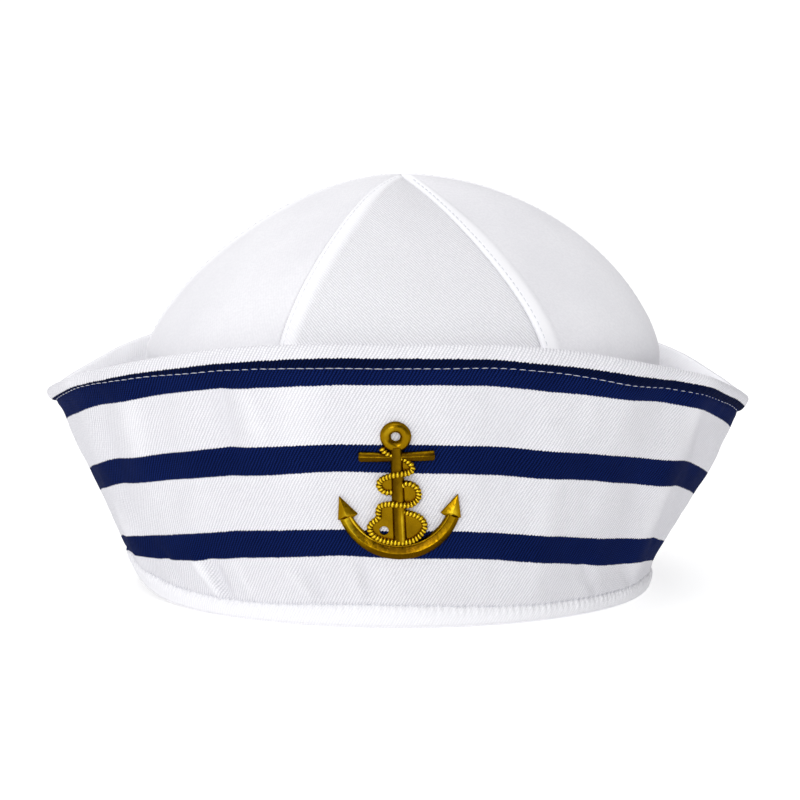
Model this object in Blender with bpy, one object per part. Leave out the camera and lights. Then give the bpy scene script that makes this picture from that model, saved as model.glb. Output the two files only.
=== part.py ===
"""Sailor cap: a six-panel cloth crown, a turned-up brim with rolled edges, and a stamped anchor badge on a pin.

Metres, +Z up, front towards -Y. The origin is the middle of the round foot of the brim.
Azimuths are in degrees from the front, positive towards +X.
"""

import math

import bmesh
import bpy
import numpy as np
from mathutils import Matrix, Vector

# Driving sizes of the cloth parts
HEAD_RADIUS = 0.0888
CROWN_WALL = 0.0012
CROWN_HEIGHT = 0.1469
SHOULDER_HEIGHT = 0.084
CROWN_FOOT = 0.0006
CROWN_TURN = 2.8
SIDE_SWELL = 0.0034
PANEL_COUNT = 6
PANEL_FLATNESS = 0.05
SEWING_GAP = 0.0003
BRIM_WALL = 0.0024
RIM_HEIGHT = 0.0955
RIM_REACH = 0.0333
RIM_BAND = 0.0075
RIM_PUFF = 0.0005
HEM_HEIGHT = 0.0078
HEM_PUFF = 0.0013
STITCH_PINCH = 0.0004
BAND_EASE = 0.0015
FOOT_ROUND = 0.0010
LEAN = 0.0018

# Driving sizes of the badge and its pin
BADGE_WIDTH = 0.0404
BADGE_HEIGHT = 0.0462
BADGE_DROP = 0.0256
BADGE_TILT = 1.3
BADGE_GAP = 0.0003
RING_RADIUS = 0.0049
RING_HOLE_RADIUS = 0.0018
RING_THICK = 0.0021
STOCK_LENGTH = 0.0246
STOCK_WIDTH = 0.0030
STOCK_THICK = 0.0022
SHANK_WIDTH = 0.0044
SHANK_THICK = 0.0030
ARM_RADIUS = 0.0207
ARM_WIDTH = 0.0042
ARM_THICK = 0.0026
FLUKE_THICK = 0.0024
ROPE_RADIUS = 0.0010
WEB_THICK = 0.0009
WEB_HOLE_RADIUS = 0.0015
PIN_RADIUS = 0.0009
PIN_HEAD_RADIUS = 0.0034
PIN_HEAD_THICK = 0.0010
PIN_CLEARANCE = 0.0003

# Mesh steps
BRIM_STEPS = 90
PANEL_STEPS = 8
DOME_STEPS = 13
SKIRT_STEPS = 3
ROPE_STEPS = 2
BEND_LENGTH = 0.007

# Rim of the brim from the front to the back, the same on both sides
# azimuth: degrees. rise: share of RIM_HEIGHT. reach: share of RIM_REACH
RIM_ROWS = (
    (0, 1.000, 0.447),
    (15, 0.998, 0.480),
    (30, 0.975, 0.555),
    (45, 0.921, 0.670),
    (60, 0.854, 0.815),
    (75, 0.774, 0.935),
    (90, 0.713, 1.000),
    (105, 0.756, 0.925),
    (120, 0.833, 0.810),
    (135, 0.900, 0.670),
    (150, 0.945, 0.555),
    (165, 0.968, 0.480),
    (180, 0.975, 0.447),
)

# Slope of the brim wall from the hem to the rim
# rise: share of the rim's height there. left, front, right: share of the rim's reach at that side
SLOPE_ROWS = (
    (0.00, 0.00, 0.00, 0.00),
    (0.12, 0.11, 0.12, 0.05),
    (0.34, 0.32, 0.34, 0.28),
    (0.55, 0.52, 0.55, 0.55),
    (0.77, 0.74, 0.77, 0.78),
    (0.90, 0.87, 0.90, 0.93),
    (1.00, 1.00, 1.00, 1.00),
)

# Soft folds and dents of the brim
# azimuth, spread: degrees. depth: share of BRIM_WALL, outward if positive. low, high: shares of the rise
FOLD_ROWS = (
    (61, 5, 0.60, 0.10, 1.20),
    (72, 7, -0.30, 0.05, 1.00),
    (-66, 6, 0.50, 0.10, 1.20),
    (-77, 7, -0.25, 0.05, 0.90),
    (-33, 5, -0.40, 0.55, 0.98),
    (-41, 6, 0.25, 0.10, 0.75),
    (38, 6, -0.25, 0.05, 0.60),
    (118, 8, 0.40, 0.10, 1.20),
    (-121, 8, 0.40, 0.10, 1.20),
    (152, 7, -0.30, 0.20, 0.90),
    (-160, 8, -0.30, 0.10, 0.80),
)

# Where the hem lifts off the surface
# azimuth, spread: degrees. lift: share of HEM_HEIGHT
LIFT_ROWS = ((-84, 21, 0.70),)

# Outline of the crown at each seam
# azimuth: degrees before the crown's turn. shoulder: larger is fuller low down. dome: larger is more pointed
SEAM_ROWS = (
    (-150, 1.60, 0.65),
    (-90, 1.36, 0.56),
    (-30, 1.67, 0.82),
    (30, 1.79, 1.08),
    (90, 1.58, 0.503),
    (150, 1.62, 0.65),
)

# How far the arms' outer edge runs into the arrowheads: across, share of half the badge's width
ARM_REACH = 0.965

# Outline of the half arrowhead at an arm's end
# across: share of half the badge's width. up: share of the badge's height
FLUKE_TIP = (0.965, 0.462)
FLUKE_OUTER = (1.000, 0.290)
FLUKE_INNER = (0.668, 0.331)

# Rope round the shank, from the ring down to the arms
# across: share of half the badge's width. up: share of its height. lift: share of the shank's thickness
ROPE_ROWS = (
    (-0.240, 0.818, 0.36),
    (-0.165, 0.780, 0.36),
    (-0.040, 0.750, 0.30),
    (0.120, 0.728, 0.32),
    (0.225, 0.690, 0.42),
    (0.240, 0.648, 0.46),
    (0.155, 0.612, 0.70),
    (0.000, 0.602, 0.98),
    (-0.150, 0.590, 0.72),
    (-0.275, 0.556, 0.44),
    (-0.280, 0.514, 0.42),
    (-0.180, 0.480, 0.36),
    (-0.020, 0.505, 0.30),
    (0.130, 0.556, 0.40),
    (0.270, 0.535, 0.46),
    (0.325, 0.486, 0.46),
    (0.300, 0.438, 0.46),
    (0.180, 0.404, 0.70),
    (-0.010, 0.412, 0.98),
    (-0.160, 0.412, 0.72),
    (-0.290, 0.392, 0.46),
    (-0.325, 0.352, 0.44),
    (-0.330, 0.308, 0.44),
    (-0.430, 0.272, 0.44),
    (-0.478, 0.232, 0.46),
    (-0.430, 0.186, 0.52),
    (-0.320, 0.152, 0.56),
    (-0.180, 0.134, 0.58),
    (0.000, 0.128, 0.60),
    (0.165, 0.136, 0.58),
    (0.285, 0.164, 0.54),
    (0.370, 0.206, 0.48),
    (0.402, 0.246, 0.46),
    (0.365, 0.290, 0.44),
    (0.270, 0.322, 0.42),
    (0.130, 0.342, 0.36),
    (0.000, 0.352, 0.30),
)

# Stretches of the rope, first and last row, whose loop a thin web fills
WEB_ROWS = ((3, 7), (7, 12), (12, 18), (18, 28), (28, 36))

# Through hole in the web: across and up as in the rope's rows
WEB_HOLE = (-0.245, 0.205)

# Where the pin meets the badge's back: up, share of the badge's height
PIN_UP = 0.44

# Ends of the stretches of the anchor, as shares of the badge's height
RING_UP = 1.0 - RING_RADIUS / BADGE_HEIGHT
STOCK_UP = 0.752
SHANK_FOOT_UP = 0.05
SHANK_TOP_UP = 0.82

HEM_RADIUS = HEAD_RADIUS + CROWN_WALL + SEWING_GAP + BRIM_WALL


def clear_scene():
    for obj in list(bpy.data.objects):
        bpy.data.objects.remove(obj)


def material(name, colour, roughness, metallic=0.0):
    made = bpy.data.materials.new(name)
    made.use_nodes = True
    shader = made.node_tree.nodes["Principled BSDF"]
    shader.inputs["Base Color"].default_value = (*colour, 1.0)
    shader.inputs["Roughness"].default_value = roughness
    shader.inputs["Metallic"].default_value = metallic
    made.diffuse_color = (*colour, 1.0)
    return made


def object_from(name, points, faces, surface, sharp_angle=40):
    """A closed mesh object, with its faces turned outwards and its round faces shaded smooth."""
    mesh = bpy.data.meshes.new(name)
    mesh.from_pydata([tuple(point) for point in points], [], faces)
    shell = bmesh.new()
    shell.from_mesh(mesh)
    bmesh.ops.recalc_face_normals(shell, faces=shell.faces)
    bmesh.ops.triangulate(shell, faces=shell.faces)
    shell.to_mesh(mesh)
    shell.free()
    mesh.shade_smooth()
    mesh.set_sharp_from_angle(angle=math.radians(sharp_angle))
    mesh.materials.append(surface)
    obj = bpy.data.objects.new(name, mesh)
    bpy.context.scene.collection.objects.link(obj)
    return obj


def curve_through(stations, values, at):
    """A smooth curve through a table's column, level at both ends."""
    stations = np.asarray(stations, float)
    values = np.asarray(values, float)
    tangents = np.gradient(values, stations)
    tangents[0] = tangents[-1] = 0.0
    at = float(np.clip(at, stations[0], stations[-1]))
    row = int(np.clip(np.searchsorted(stations, at) - 1, 0, len(stations) - 2))
    span = stations[row + 1] - stations[row]
    t = (at - stations[row]) / span
    return (
        (2 * t**3 - 3 * t**2 + 1) * values[row]
        + (t**3 - 2 * t**2 + t) * span * tangents[row]
        + (3 * t**2 - 2 * t**3) * values[row + 1]
        + (t**3 - t**2) * span * tangents[row + 1]
    )


def turned(azimuth):
    """The same azimuth from -180 to 180 degrees."""
    return (azimuth + 180.0) % 360.0 - 180.0


def smooth_step(low, high, at):
    t = min(max((at - low) / (high - low), 0.0), 1.0)
    return t * t * (3 - 2 * t)


def foot_lift(azimuth):
    return sum(
        HEM_HEIGHT * share * math.exp(-((turned(azimuth - middle) / spread) ** 2))
        for middle, spread, share in LIFT_ROWS
    )


def around(azimuth, radius, height):
    """The point at an azimuth, a radius and a height. The cap's foot lies towards -X and lifts in places."""
    angle = math.radians(azimuth)
    low = 1 - smooth_step(0.0, SHOULDER_HEIGHT, height)
    return Vector((
        radius * math.sin(angle) - LEAN * low,
        -radius * math.cos(angle),
        height + foot_lift(azimuth) * low,
    ))


# The brim


def rim_rise(azimuth):
    table = np.array(RIM_ROWS)
    return RIM_HEIGHT * curve_through(table[:, 0], table[:, 1], abs(turned(azimuth)))


def rim_reach(azimuth):
    table = np.array(RIM_ROWS)
    return RIM_REACH * curve_through(table[:, 0], table[:, 2], abs(turned(azimuth)))


def slope_share(azimuth, rise):
    """How far out the wall is at a share of its height, between the hem at 0 and the rim at 1."""
    left, front, right = (np.interp(rise, *np.array(SLOPE_ROWS).T[[0, side]]) for side in (1, 2, 3))
    sideways = math.sin(math.radians(azimuth))
    side = right if sideways > 0 else left
    return front + (side - front) * sideways**2


def fold_depth(azimuth, rise):
    depth = 0.0
    for middle, spread, share, low, high in FOLD_ROWS:
        away = turned(azimuth - middle) / spread
        fade = 0.12
        within = smooth_step(low - fade, low + fade, rise) * (1 - smooth_step(high - fade, high + fade, rise))
        depth += BRIM_WALL * share * math.exp(-away * away) * within
    return depth


def wall_line(azimuth, height):
    """Radius of the brim's outer face at a height, without the puffed bands."""
    rise = height / rim_rise(azimuth)
    return HEM_RADIUS + rim_reach(azimuth) * slope_share(azimuth, rise) + fold_depth(azimuth, rise)


def brim_section(azimuth):
    """The closed section of the brim at an azimuth: up its outer face, over the rim and down its inner face."""
    top = rim_rise(azimuth)
    lean = math.atan2(wall_line(azimuth, top) - wall_line(azimuth, 0.6 * top), 0.4 * top)

    def outer(height, puff):
        return (wall_line(azimuth, height) + puff * math.cos(lean), height - puff * math.sin(lean))

    def inner(height, puff):
        at_line = wall_line(azimuth, height)
        return (at_line - BRIM_WALL / math.cos(lean) - puff * math.cos(lean), height + puff * math.sin(lean))

    band_foot = top - RIM_BAND * math.cos(lean)
    shelf = np.linspace(HEM_HEIGHT + BAND_EASE, band_foot - BAND_EASE, 5)
    points = [(HEM_RADIUS - FOOT_ROUND, 0.0)]
    points += [outer(HEM_HEIGHT * share, HEM_PUFF * puff) for share, puff in ((0.13, 0.40), (0.40, 1.0), (0.72, 0.9))]
    points += [outer(HEM_HEIGHT, -STITCH_PINCH)]
    points += [outer(height, 0.0) for height in shelf]
    points += [outer(band_foot, -STITCH_PINCH)]
    points += [outer(top - RIM_BAND * share, RIM_PUFF * puff) for share, puff in ((0.66, 0.7), (0.28, 1.0))]
    rim_middle = wall_line(azimuth, top) - BRIM_WALL / 2
    points += [(rim_middle + BRIM_WALL * 0.42, top - BRIM_WALL * 0.22)]
    points += [(rim_middle, top)]
    points += [(rim_middle - BRIM_WALL * 0.45, top - BRIM_WALL * 0.10)]
    points += [inner(top - RIM_BAND * share, RIM_PUFF * puff) for share, puff in ((0.28, 0.8), (0.66, 0.6))]
    points += [inner(band_foot, -STITCH_PINCH / 2)]
    points += [inner(height, 0.0) for height in shelf[::-2]]
    points += [(HEM_RADIUS - BRIM_WALL, HEM_HEIGHT * 0.5)]
    points += [(HEM_RADIUS - BRIM_WALL, HEM_HEIGHT * 0.1)]
    points += [(HEM_RADIUS - BRIM_WALL + FOOT_ROUND / 3, 0.0)]
    floor_radius = HEM_RADIUS - BRIM_WALL
    return [(max(radius, floor_radius), height) for radius, height in points]


def brim(surface):
    azimuths = [360.0 * step / BRIM_STEPS for step in range(BRIM_STEPS)]
    rings = [brim_section(azimuth) for azimuth in azimuths]
    count = len(rings[0])
    points = [around(azimuth, *at) for azimuth, ring in zip(azimuths, rings) for at in ring]
    faces = []
    for step in range(BRIM_STEPS):
        here, there = step * count, (step + 1) % BRIM_STEPS * count
        for j in range(count):
            k = (j + 1) % count
            faces.append((here + j, there + j, there + k, here + k))
    return object_from("brim", points, faces, surface, 55)


def brim_point(azimuth, height):
    return around(azimuth, wall_line(azimuth, height), height)


def brim_frame(azimuth, height):
    """Point, direction to +X along the wall, direction up the wall and outward direction of the brim's face."""
    step = 0.0005
    turn = math.degrees(step / HEM_RADIUS)
    point = brim_point(azimuth, height)
    sideways = (brim_point(azimuth + turn, height) - brim_point(azimuth - turn, height)).normalized()
    upward = (brim_point(azimuth, height + step) - brim_point(azimuth, height - step)).normalized()
    outward = sideways.cross(upward).normalized()
    return point, sideways, upward, outward


# The crown


def crown_shape(azimuth, column):
    """A column of the seam table, between two seams."""
    table = np.array(SEAM_ROWS)
    spacing = 360.0 / len(table)
    place = ((azimuth - CROWN_TURN - table[0, 0]) / spacing) % len(table)
    first = int(place)
    share = smooth_step(0.0, 1.0, place - first)
    return (1 - share) * table[first, column] + share * table[(first + 1) % len(table), column]


def side_swell(azimuth):
    """How far the crown bulges at its shoulder, over the brim on the +X side."""
    return SIDE_SWELL * max(math.sin(math.radians(azimuth)), 0.0) ** 2


def crown_point(azimuth, lean, across):
    """Radius and height of the crown's outer face. lean is 0 at the shoulder and 90 degrees at the top."""
    outer_radius = HEAD_RADIUS + CROWN_WALL + side_swell(azimuth)
    share = math.cos(math.radians(lean))
    shoulder, dome = crown_shape(azimuth, 1), crown_shape(azimuth, 2)
    height = SHOULDER_HEIGHT + (CROWN_HEIGHT - SHOULDER_HEIGHT) * (1 - share ** (1 / dome)) ** (1 / shoulder)
    flat = PANEL_FLATNESS * (1 - share**4) * (1 - (2 * across - 1) ** 2)
    return outer_radius * share * (1 - flat), height


def crown_rows():
    """The rows of a panel as (lean, height): a height on the upright skirt, then leans up the dome."""
    tip_lean = math.degrees(math.acos(1.2 * CROWN_WALL / (HEAD_RADIUS + CROWN_WALL)))
    skirt = [(0.0, CROWN_FOOT + (SHOULDER_HEIGHT - CROWN_FOOT) * row / SKIRT_STEPS) for row in range(SKIRT_STEPS)]
    return skirt + [(tip_lean * row / DOME_STEPS, None) for row in range(DOME_STEPS + 1)]


def panel_place(azimuth, across, lean, height, inward):
    """A point of a panel: its outer face, or its inner face one wall further in."""
    if height is not None:
        swell = side_swell(azimuth) * smooth_step(SHOULDER_HEIGHT / 4, SHOULDER_HEIGHT, height)
        return HEAD_RADIUS + CROWN_WALL + swell - inward, height
    radius, top = crown_point(azimuth, lean, across)
    if not inward:
        return radius, top
    step = 0.2
    low = crown_point(azimuth, max(lean - step, 0.0), across)
    high = crown_point(azimuth, lean + step, across)
    along = Vector((high[0] - low[0], high[1] - low[1])).normalized()
    return max(radius - inward * along[1], radius * 0.6), top + inward * along[0]


def crown_panel(number, surface):
    """One gore, between two seams. Its long edges keep the sewing gap to its neighbours."""
    spacing = 360.0 / PANEL_COUNT
    middle = CROWN_TURN + spacing * (number - 1)
    rows = crown_rows()
    points = []
    for inward in (0.0, CROWN_WALL):
        for lean, height in rows:
            for step in range(PANEL_STEPS + 1):
                across = step / PANEL_STEPS
                azimuth = middle + spacing * (across - 0.5)
                radius, top = panel_place(azimuth, across, lean, height, inward)
                trim = math.degrees(math.asin(SEWING_GAP / 2 / radius))
                azimuth = middle + (spacing - 2 * trim) * (across - 0.5)
                points.append(around(azimuth, radius, top))
    width, height_count = PANEL_STEPS + 1, len(rows)

    def index(skin, row, step):
        return skin * width * height_count + row * width + step

    faces = []
    for skin in (0, 1):
        for row in range(height_count - 1):
            for step in range(PANEL_STEPS):
                corners = (
                    index(skin, row, step),
                    index(skin, row, step + 1),
                    index(skin, row + 1, step + 1),
                    index(skin, row + 1, step),
                )
                faces.append(corners if skin == 0 else corners[::-1])
    last = height_count - 1
    for row in range(last):
        faces.append((index(0, row, 0), index(0, row + 1, 0), index(1, row + 1, 0), index(1, row, 0)))
        side = PANEL_STEPS
        faces.append((index(1, row, side), index(1, row + 1, side), index(0, row + 1, side), index(0, row, side)))
    for step in range(PANEL_STEPS):
        faces.append((index(1, 0, step), index(1, 0, step + 1), index(0, 0, step + 1), index(0, 0, step)))
        faces.append((index(0, last, step), index(0, last, step + 1), index(1, last, step + 1), index(1, last, step)))
    return object_from(f"crown_panel_{number}", points, faces, surface)


# The badge, first flat: +X across, +Y up, +Z away from the brim. What lies below its back is cut off


def loft(name, sections, surface, closed=False):
    """A solid through sections of the same number of points."""
    count = len(sections[0])
    points = [point for section in sections for point in section]
    faces = []
    last = len(sections) if closed else len(sections) - 1
    for i in range(last):
        here, there = i * count, (i + 1) % len(sections) * count
        for j in range(count):
            k = (j + 1) % count
            faces.append((here + j, here + k, there + k, there + j))
    if not closed:
        faces.append(tuple(range(count))[::-1])
        faces.append(tuple(range((len(sections) - 1) * count, len(sections) * count)))
    return object_from(name, points, faces, surface)


def prism(name, outline, low, high, surface):
    """An outline in the badge's plane, from one height above its back to another."""
    return loft(name, [[(x, y, z) for x, y in outline] for z in (low, high)], surface)


def badge_ring(surface):
    middle = BADGE_HEIGHT * RING_UP
    radius = (RING_RADIUS + RING_HOLE_RADIUS) / 2
    half = (RING_RADIUS - RING_HOLE_RADIUS) / 2
    sections = []
    for step in range(24):
        angle = 2 * math.pi * step / 24
        section = []
        for out, lift in ((1, -0.3), (1, 0.30), (0.62, 0.84), (0, 1), (-0.62, 0.84), (-1, 0.30), (-1, -0.3)):
            reach = radius + half * out
            section.append((reach * math.cos(angle), middle + reach * math.sin(angle), RING_THICK * lift))
        sections.append(section)
    return loft("ring", sections, surface, closed=True)


def bar_section(half_width, thick, ridge=0.0):
    """Half-round section of a bar: (sideways, lift) pairs from its left foot over its crest."""
    return [
        (-half_width, -0.20 * thick),
        (-half_width, 0.45 * thick),
        (-0.55 * half_width, 0.86 * thick),
        (ridge * half_width, thick),
        (0.62 * half_width, 0.80 * thick),
        (half_width, 0.42 * thick),
        (half_width, -0.20 * thick),
    ]


def badge_stock(surface):
    middle = BADGE_HEIGHT * STOCK_UP
    sections = []
    for share in (-1.0, -0.97, -0.5, 0.0, 0.5, 0.97, 1.0):
        shrink = 0.86 if abs(share) == 1.0 else 1.0
        wide = STOCK_WIDTH / 2 * (1 + 0.12 * abs(share)) * shrink
        sag = -0.1 * STOCK_WIDTH * (1 - share * share)
        section = bar_section(wide, STOCK_THICK * shrink)
        sections.append([(STOCK_LENGTH / 2 * share, middle + sag + y, z) for y, z in section])
    return loft("stock", sections, surface)


def badge_shank(surface):
    sections = []
    for share in (0.0, 0.35, 0.7, 1.0):
        up = SHANK_FOOT_UP + (SHANK_TOP_UP - SHANK_FOOT_UP) * share
        section = bar_section(SHANK_WIDTH / 2 * (1.08 - 0.16 * share), SHANK_THICK, ridge=0.25)
        sections.append([(x, BADGE_HEIGHT * up, z) for x, z in section])
    return loft("shank", sections, surface)


def badge_arms(surface):
    """The crescent, on an arc from one arrowhead to the other. Its ridge runs along its middle."""
    reach = math.asin(ARM_REACH * BADGE_WIDTH / 2 / ARM_RADIUS)
    sections = []
    for step in range(21):
        share = step / 10 - 1
        angle = reach * share
        width = ARM_WIDTH * (1 - 0.20 * share * share)
        section = []
        for across, lift in ((0, -0.3), (0, 0.40), (0.48, 1.0), (0.80, 0.72), (1, 0.38), (1, -0.3)):
            radius = ARM_RADIUS - width * across
            section.append((radius * math.sin(angle), ARM_RADIUS - radius * math.cos(angle), ARM_THICK * lift))
        sections.append(section)
    return loft("arms", sections, surface)


def badge_fluke(side, surface):
    """An arrowhead with a ridge from its tip to the middle of its base."""
    across, up = side * BADGE_WIDTH / 2, BADGE_HEIGHT
    tip, outer, inner = (Vector((x * across, y * up)) for x, y in (FLUKE_TIP, FLUKE_OUTER, FLUKE_INNER))
    base = outer.lerp(inner, 0.5)
    base += (base - tip) * 0.16
    low, edge, crest = -0.4 * FLUKE_THICK, 0.35 * FLUKE_THICK, FLUKE_THICK
    corners = (tip, outer, base, inner)
    points = [(*corner, low) for corner in corners] + [(*corner, edge) for corner in corners]
    points.append((*tip.lerp(base, 0.72), crest))
    faces = [(3, 2, 1, 0)] + [(i, (i + 1) % 4, 4 + (i + 1) % 4, 4 + i) for i in range(4)]
    faces += [(4 + i, 4 + (i + 1) % 4, 8) for i in range(4)]
    return object_from("fluke", points, faces, surface)


def rope_line():
    """The rope's middle line as smooth points, with the rows of the table at every ROPE_STEPS-th point."""
    rows = [
        Vector((x * BADGE_WIDTH / 2, y * BADGE_HEIGHT, lift * SHANK_THICK))
        for x, y, lift in ROPE_ROWS
    ]
    line = []
    for i in range(len(rows) - 1):
        before, after = rows[max(i - 1, 0)], rows[min(i + 2, len(rows) - 1)]
        here, there = rows[i], rows[i + 1]
        for step in range(ROPE_STEPS):
            t = step / ROPE_STEPS
            line.append(
                0.5
                * (
                    2 * here
                    + (there - before) * t
                    + (2 * before - 5 * here + 4 * there - after) * t**2
                    + (3 * here - 3 * there + after - before) * t**3
                )
            )
    return line + [rows[-1]]


def badge_rope(surface):
    line = rope_line()
    sections = []
    for i, point in enumerate(line):
        ahead = (line[min(i + 1, len(line) - 1)] - line[max(i - 1, 0)]).normalized()
        side = ahead.cross(Vector((0, 0, 1))).normalized()
        over = side.cross(ahead)
        section = []
        for corner in range(6):
            angle = math.pi * (corner + 0.5) / 3
            section.append(point + ROPE_RADIUS * (math.cos(angle) * side + math.sin(angle) * over))
        sections.append(section)
    return loft("rope", sections, surface)


def badge_webs(surface):
    """Thin plates that fill the rope's loops back to the shank."""
    line = rope_line()
    webs = []
    for number, (first, last) in enumerate(WEB_ROWS):
        stretch = line[first * ROPE_STEPS : last * ROPE_STEPS + 1]
        outline = [(point.x, point.y) for point in stretch]
        low, high = -WEB_THICK * (0.45 + 0.05 * number), WEB_THICK * (1 + 0.02 * number)
        webs.append(prism("web", outline, low, high, surface))
    return webs


def hole_cutter(across, up, radius, length, surface):
    outline = [
        (across + radius * math.cos(angle), up + radius * math.sin(angle))
        for angle in np.linspace(0, 2 * math.pi, 12, endpoint=False)
    ]
    return prism("cutter", outline, -length, length, surface)


def combined(base, others, operation, solver="EXACT"):
    """The base with each other shape joined to it or cut from it, as plain mesh. The others are removed."""
    for other in others:
        other.hide_render = True
        other.display_type = "WIRE"
        change = base.modifiers.new("change", "BOOLEAN")
        change.operation = operation
        change.solver = solver
        change.object = other
    graph = bpy.context.evaluated_depsgraph_get()
    mesh = bpy.data.meshes.new_from_object(base.evaluated_get(graph))
    base.modifiers.clear()
    base.data = mesh
    for other in others:
        bpy.data.objects.remove(other)
    return base


def badge_place(across, up):
    """Azimuth and height on the brim of a point of the flat badge."""
    turn = math.radians(BADGE_TILT)
    middle_up = BADGE_HEIGHT / 2
    x = across * math.cos(turn) - (up - middle_up) * math.sin(turn)
    y = across * math.sin(turn) + (up - middle_up) * math.cos(turn) + middle_up
    lean = math.atan2(wall_line(0, RIM_HEIGHT) - wall_line(0, 0), RIM_HEIGHT)
    height = RIM_HEIGHT - (BADGE_DROP + BADGE_HEIGHT - y) * math.cos(lean)
    return math.degrees(x / wall_line(0, height)), height


def anchor_badge(surface):
    badge = badge_shank(surface)
    others = [badge_ring(surface), badge_stock(surface), badge_arms(surface)]
    others += [badge_fluke(side, surface) for side in (-1, 1)]
    others += badge_webs(surface)
    others.append(badge_rope(surface))
    badge = combined(badge, others, "UNION", "MANIFOLD")
    hole_x, hole_y = WEB_HOLE[0] * BADGE_WIDTH / 2, WEB_HOLE[1] * BADGE_HEIGHT
    reach = BADGE_WIDTH + BADGE_HEIGHT
    below = [(-reach, -reach), (reach, -reach), (reach, reach), (-reach, reach)]
    cutters = [
        hole_cutter(0.0, BADGE_HEIGHT * RING_UP, RING_HOLE_RADIUS, 2 * SHANK_THICK, surface),
        hole_cutter(hole_x, hole_y, WEB_HOLE_RADIUS, 2 * SHANK_THICK, surface),
        prism("cutter", below, -reach, 0.0, surface),
    ]
    badge = combined(badge, cutters, "DIFFERENCE", "MANIFOLD")

    shell = bmesh.new()
    shell.from_mesh(badge.data)
    for place in np.arange(BEND_LENGTH / 2 - BADGE_WIDTH / 2, BADGE_WIDTH / 2, BEND_LENGTH):
        geometry = shell.verts[:] + shell.edges[:] + shell.faces[:]
        bmesh.ops.bisect_plane(shell, geom=geometry, plane_co=(place, 0, 0), plane_no=(1, 0, 0))
    bmesh.ops.triangulate(shell, faces=shell.faces)
    for vert in shell.verts:
        point, _, _, outward = brim_frame(*badge_place(vert.co.x, vert.co.y))
        vert.co = point + outward * (BADGE_GAP + vert.co.z)
    shell.to_mesh(badge.data)
    shell.free()
    badge.data.set_sharp_from_angle(angle=math.radians(40))
    badge.name = "anchor_badge"
    return badge


def pin_frame():
    """Where the pin's axis crosses the brim's outer face. Its +Z is the way out of the brim."""
    point, sideways, upward, outward = brim_frame(*badge_place(0.0, PIN_UP * BADGE_HEIGHT))
    turn = Matrix((sideways, upward, outward)).transposed().to_4x4()
    return Matrix.Translation(point) @ turn


def badge_pin(surface):
    """A post through the brim, with a flat head inside it."""
    head = -BRIM_WALL - PIN_CLEARANCE
    profile = (
        (PIN_HEAD_RADIUS, head - PIN_HEAD_THICK),
        (PIN_HEAD_RADIUS, head),
        (PIN_RADIUS, head),
        (PIN_RADIUS, 0.0),
    )
    count = 16
    angles = [2 * math.pi * step / count for step in range(count)]
    sections = [[(r * math.cos(a), r * math.sin(a), z) for a in angles] for r, z in profile]
    pin = loft("badge_pin", sections, surface)
    pin.matrix_world = pin_frame()
    return pin


def drill_brim(cloth_brim, surface):
    cutter = hole_cutter(0.0, 0.0, PIN_RADIUS + PIN_CLEARANCE, 3 * BRIM_WALL, surface)
    cutter.matrix_world = pin_frame()
    bpy.context.view_layer.update()
    return combined(cloth_brim, [cutter], "DIFFERENCE")


def build():
    clear_scene()
    cloth = material("white_cotton", (0.86, 0.86, 0.87), 0.85)
    brass = material("yellow_brass", (0.55, 0.39, 0.06), 0.32, 1.0)
    steel = material("pin_steel", (0.60, 0.60, 0.60), 0.40, 1.0)
    for number in range(1, PANEL_COUNT + 1):
        crown_panel(number, cloth)
    drill_brim(brim(cloth), cloth)
    anchor_badge(brass)
    badge_pin(steel)


build()
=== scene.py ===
"""The looks of the sailor cap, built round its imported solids.

Metres, +Z up, front towards -Y. Azimuths are in degrees from the front, positive towards +X.
"""

import math

import bmesh
import bpy
import numpy as np
from mathutils import Matrix, Vector, noise


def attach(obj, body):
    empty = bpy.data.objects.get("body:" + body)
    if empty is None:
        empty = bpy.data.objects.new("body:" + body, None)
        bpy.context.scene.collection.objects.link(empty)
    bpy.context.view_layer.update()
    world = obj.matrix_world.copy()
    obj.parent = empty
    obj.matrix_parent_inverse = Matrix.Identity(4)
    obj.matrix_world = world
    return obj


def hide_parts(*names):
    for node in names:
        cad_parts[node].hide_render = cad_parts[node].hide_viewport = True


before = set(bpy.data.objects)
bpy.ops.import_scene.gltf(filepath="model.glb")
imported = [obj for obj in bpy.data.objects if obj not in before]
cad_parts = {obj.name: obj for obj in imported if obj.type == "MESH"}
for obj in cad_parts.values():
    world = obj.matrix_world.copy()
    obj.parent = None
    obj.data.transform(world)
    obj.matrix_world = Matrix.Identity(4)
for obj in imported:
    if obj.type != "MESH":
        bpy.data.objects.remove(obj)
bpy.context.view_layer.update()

# Sizes of the cloth parts, the same as the solids'
HEAD_RADIUS = 0.0888
CROWN_WALL = 0.0012
CROWN_HEIGHT = 0.1469
SHOULDER_HEIGHT = 0.084
CROWN_FOOT = 0.0006
CROWN_TURN = 2.8
SIDE_SWELL = 0.0034
PANEL_COUNT = 6
PANEL_FLATNESS = 0.05
SEWING_GAP = 0.0003
BRIM_WALL = 0.0024
RIM_HEIGHT = 0.0955
RIM_REACH = 0.0333
RIM_BAND = 0.0075
HEM_HEIGHT = 0.0078
LEAN = 0.0018
HEM_RADIUS = HEAD_RADIUS + CROWN_WALL + SEWING_GAP + BRIM_WALL

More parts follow.
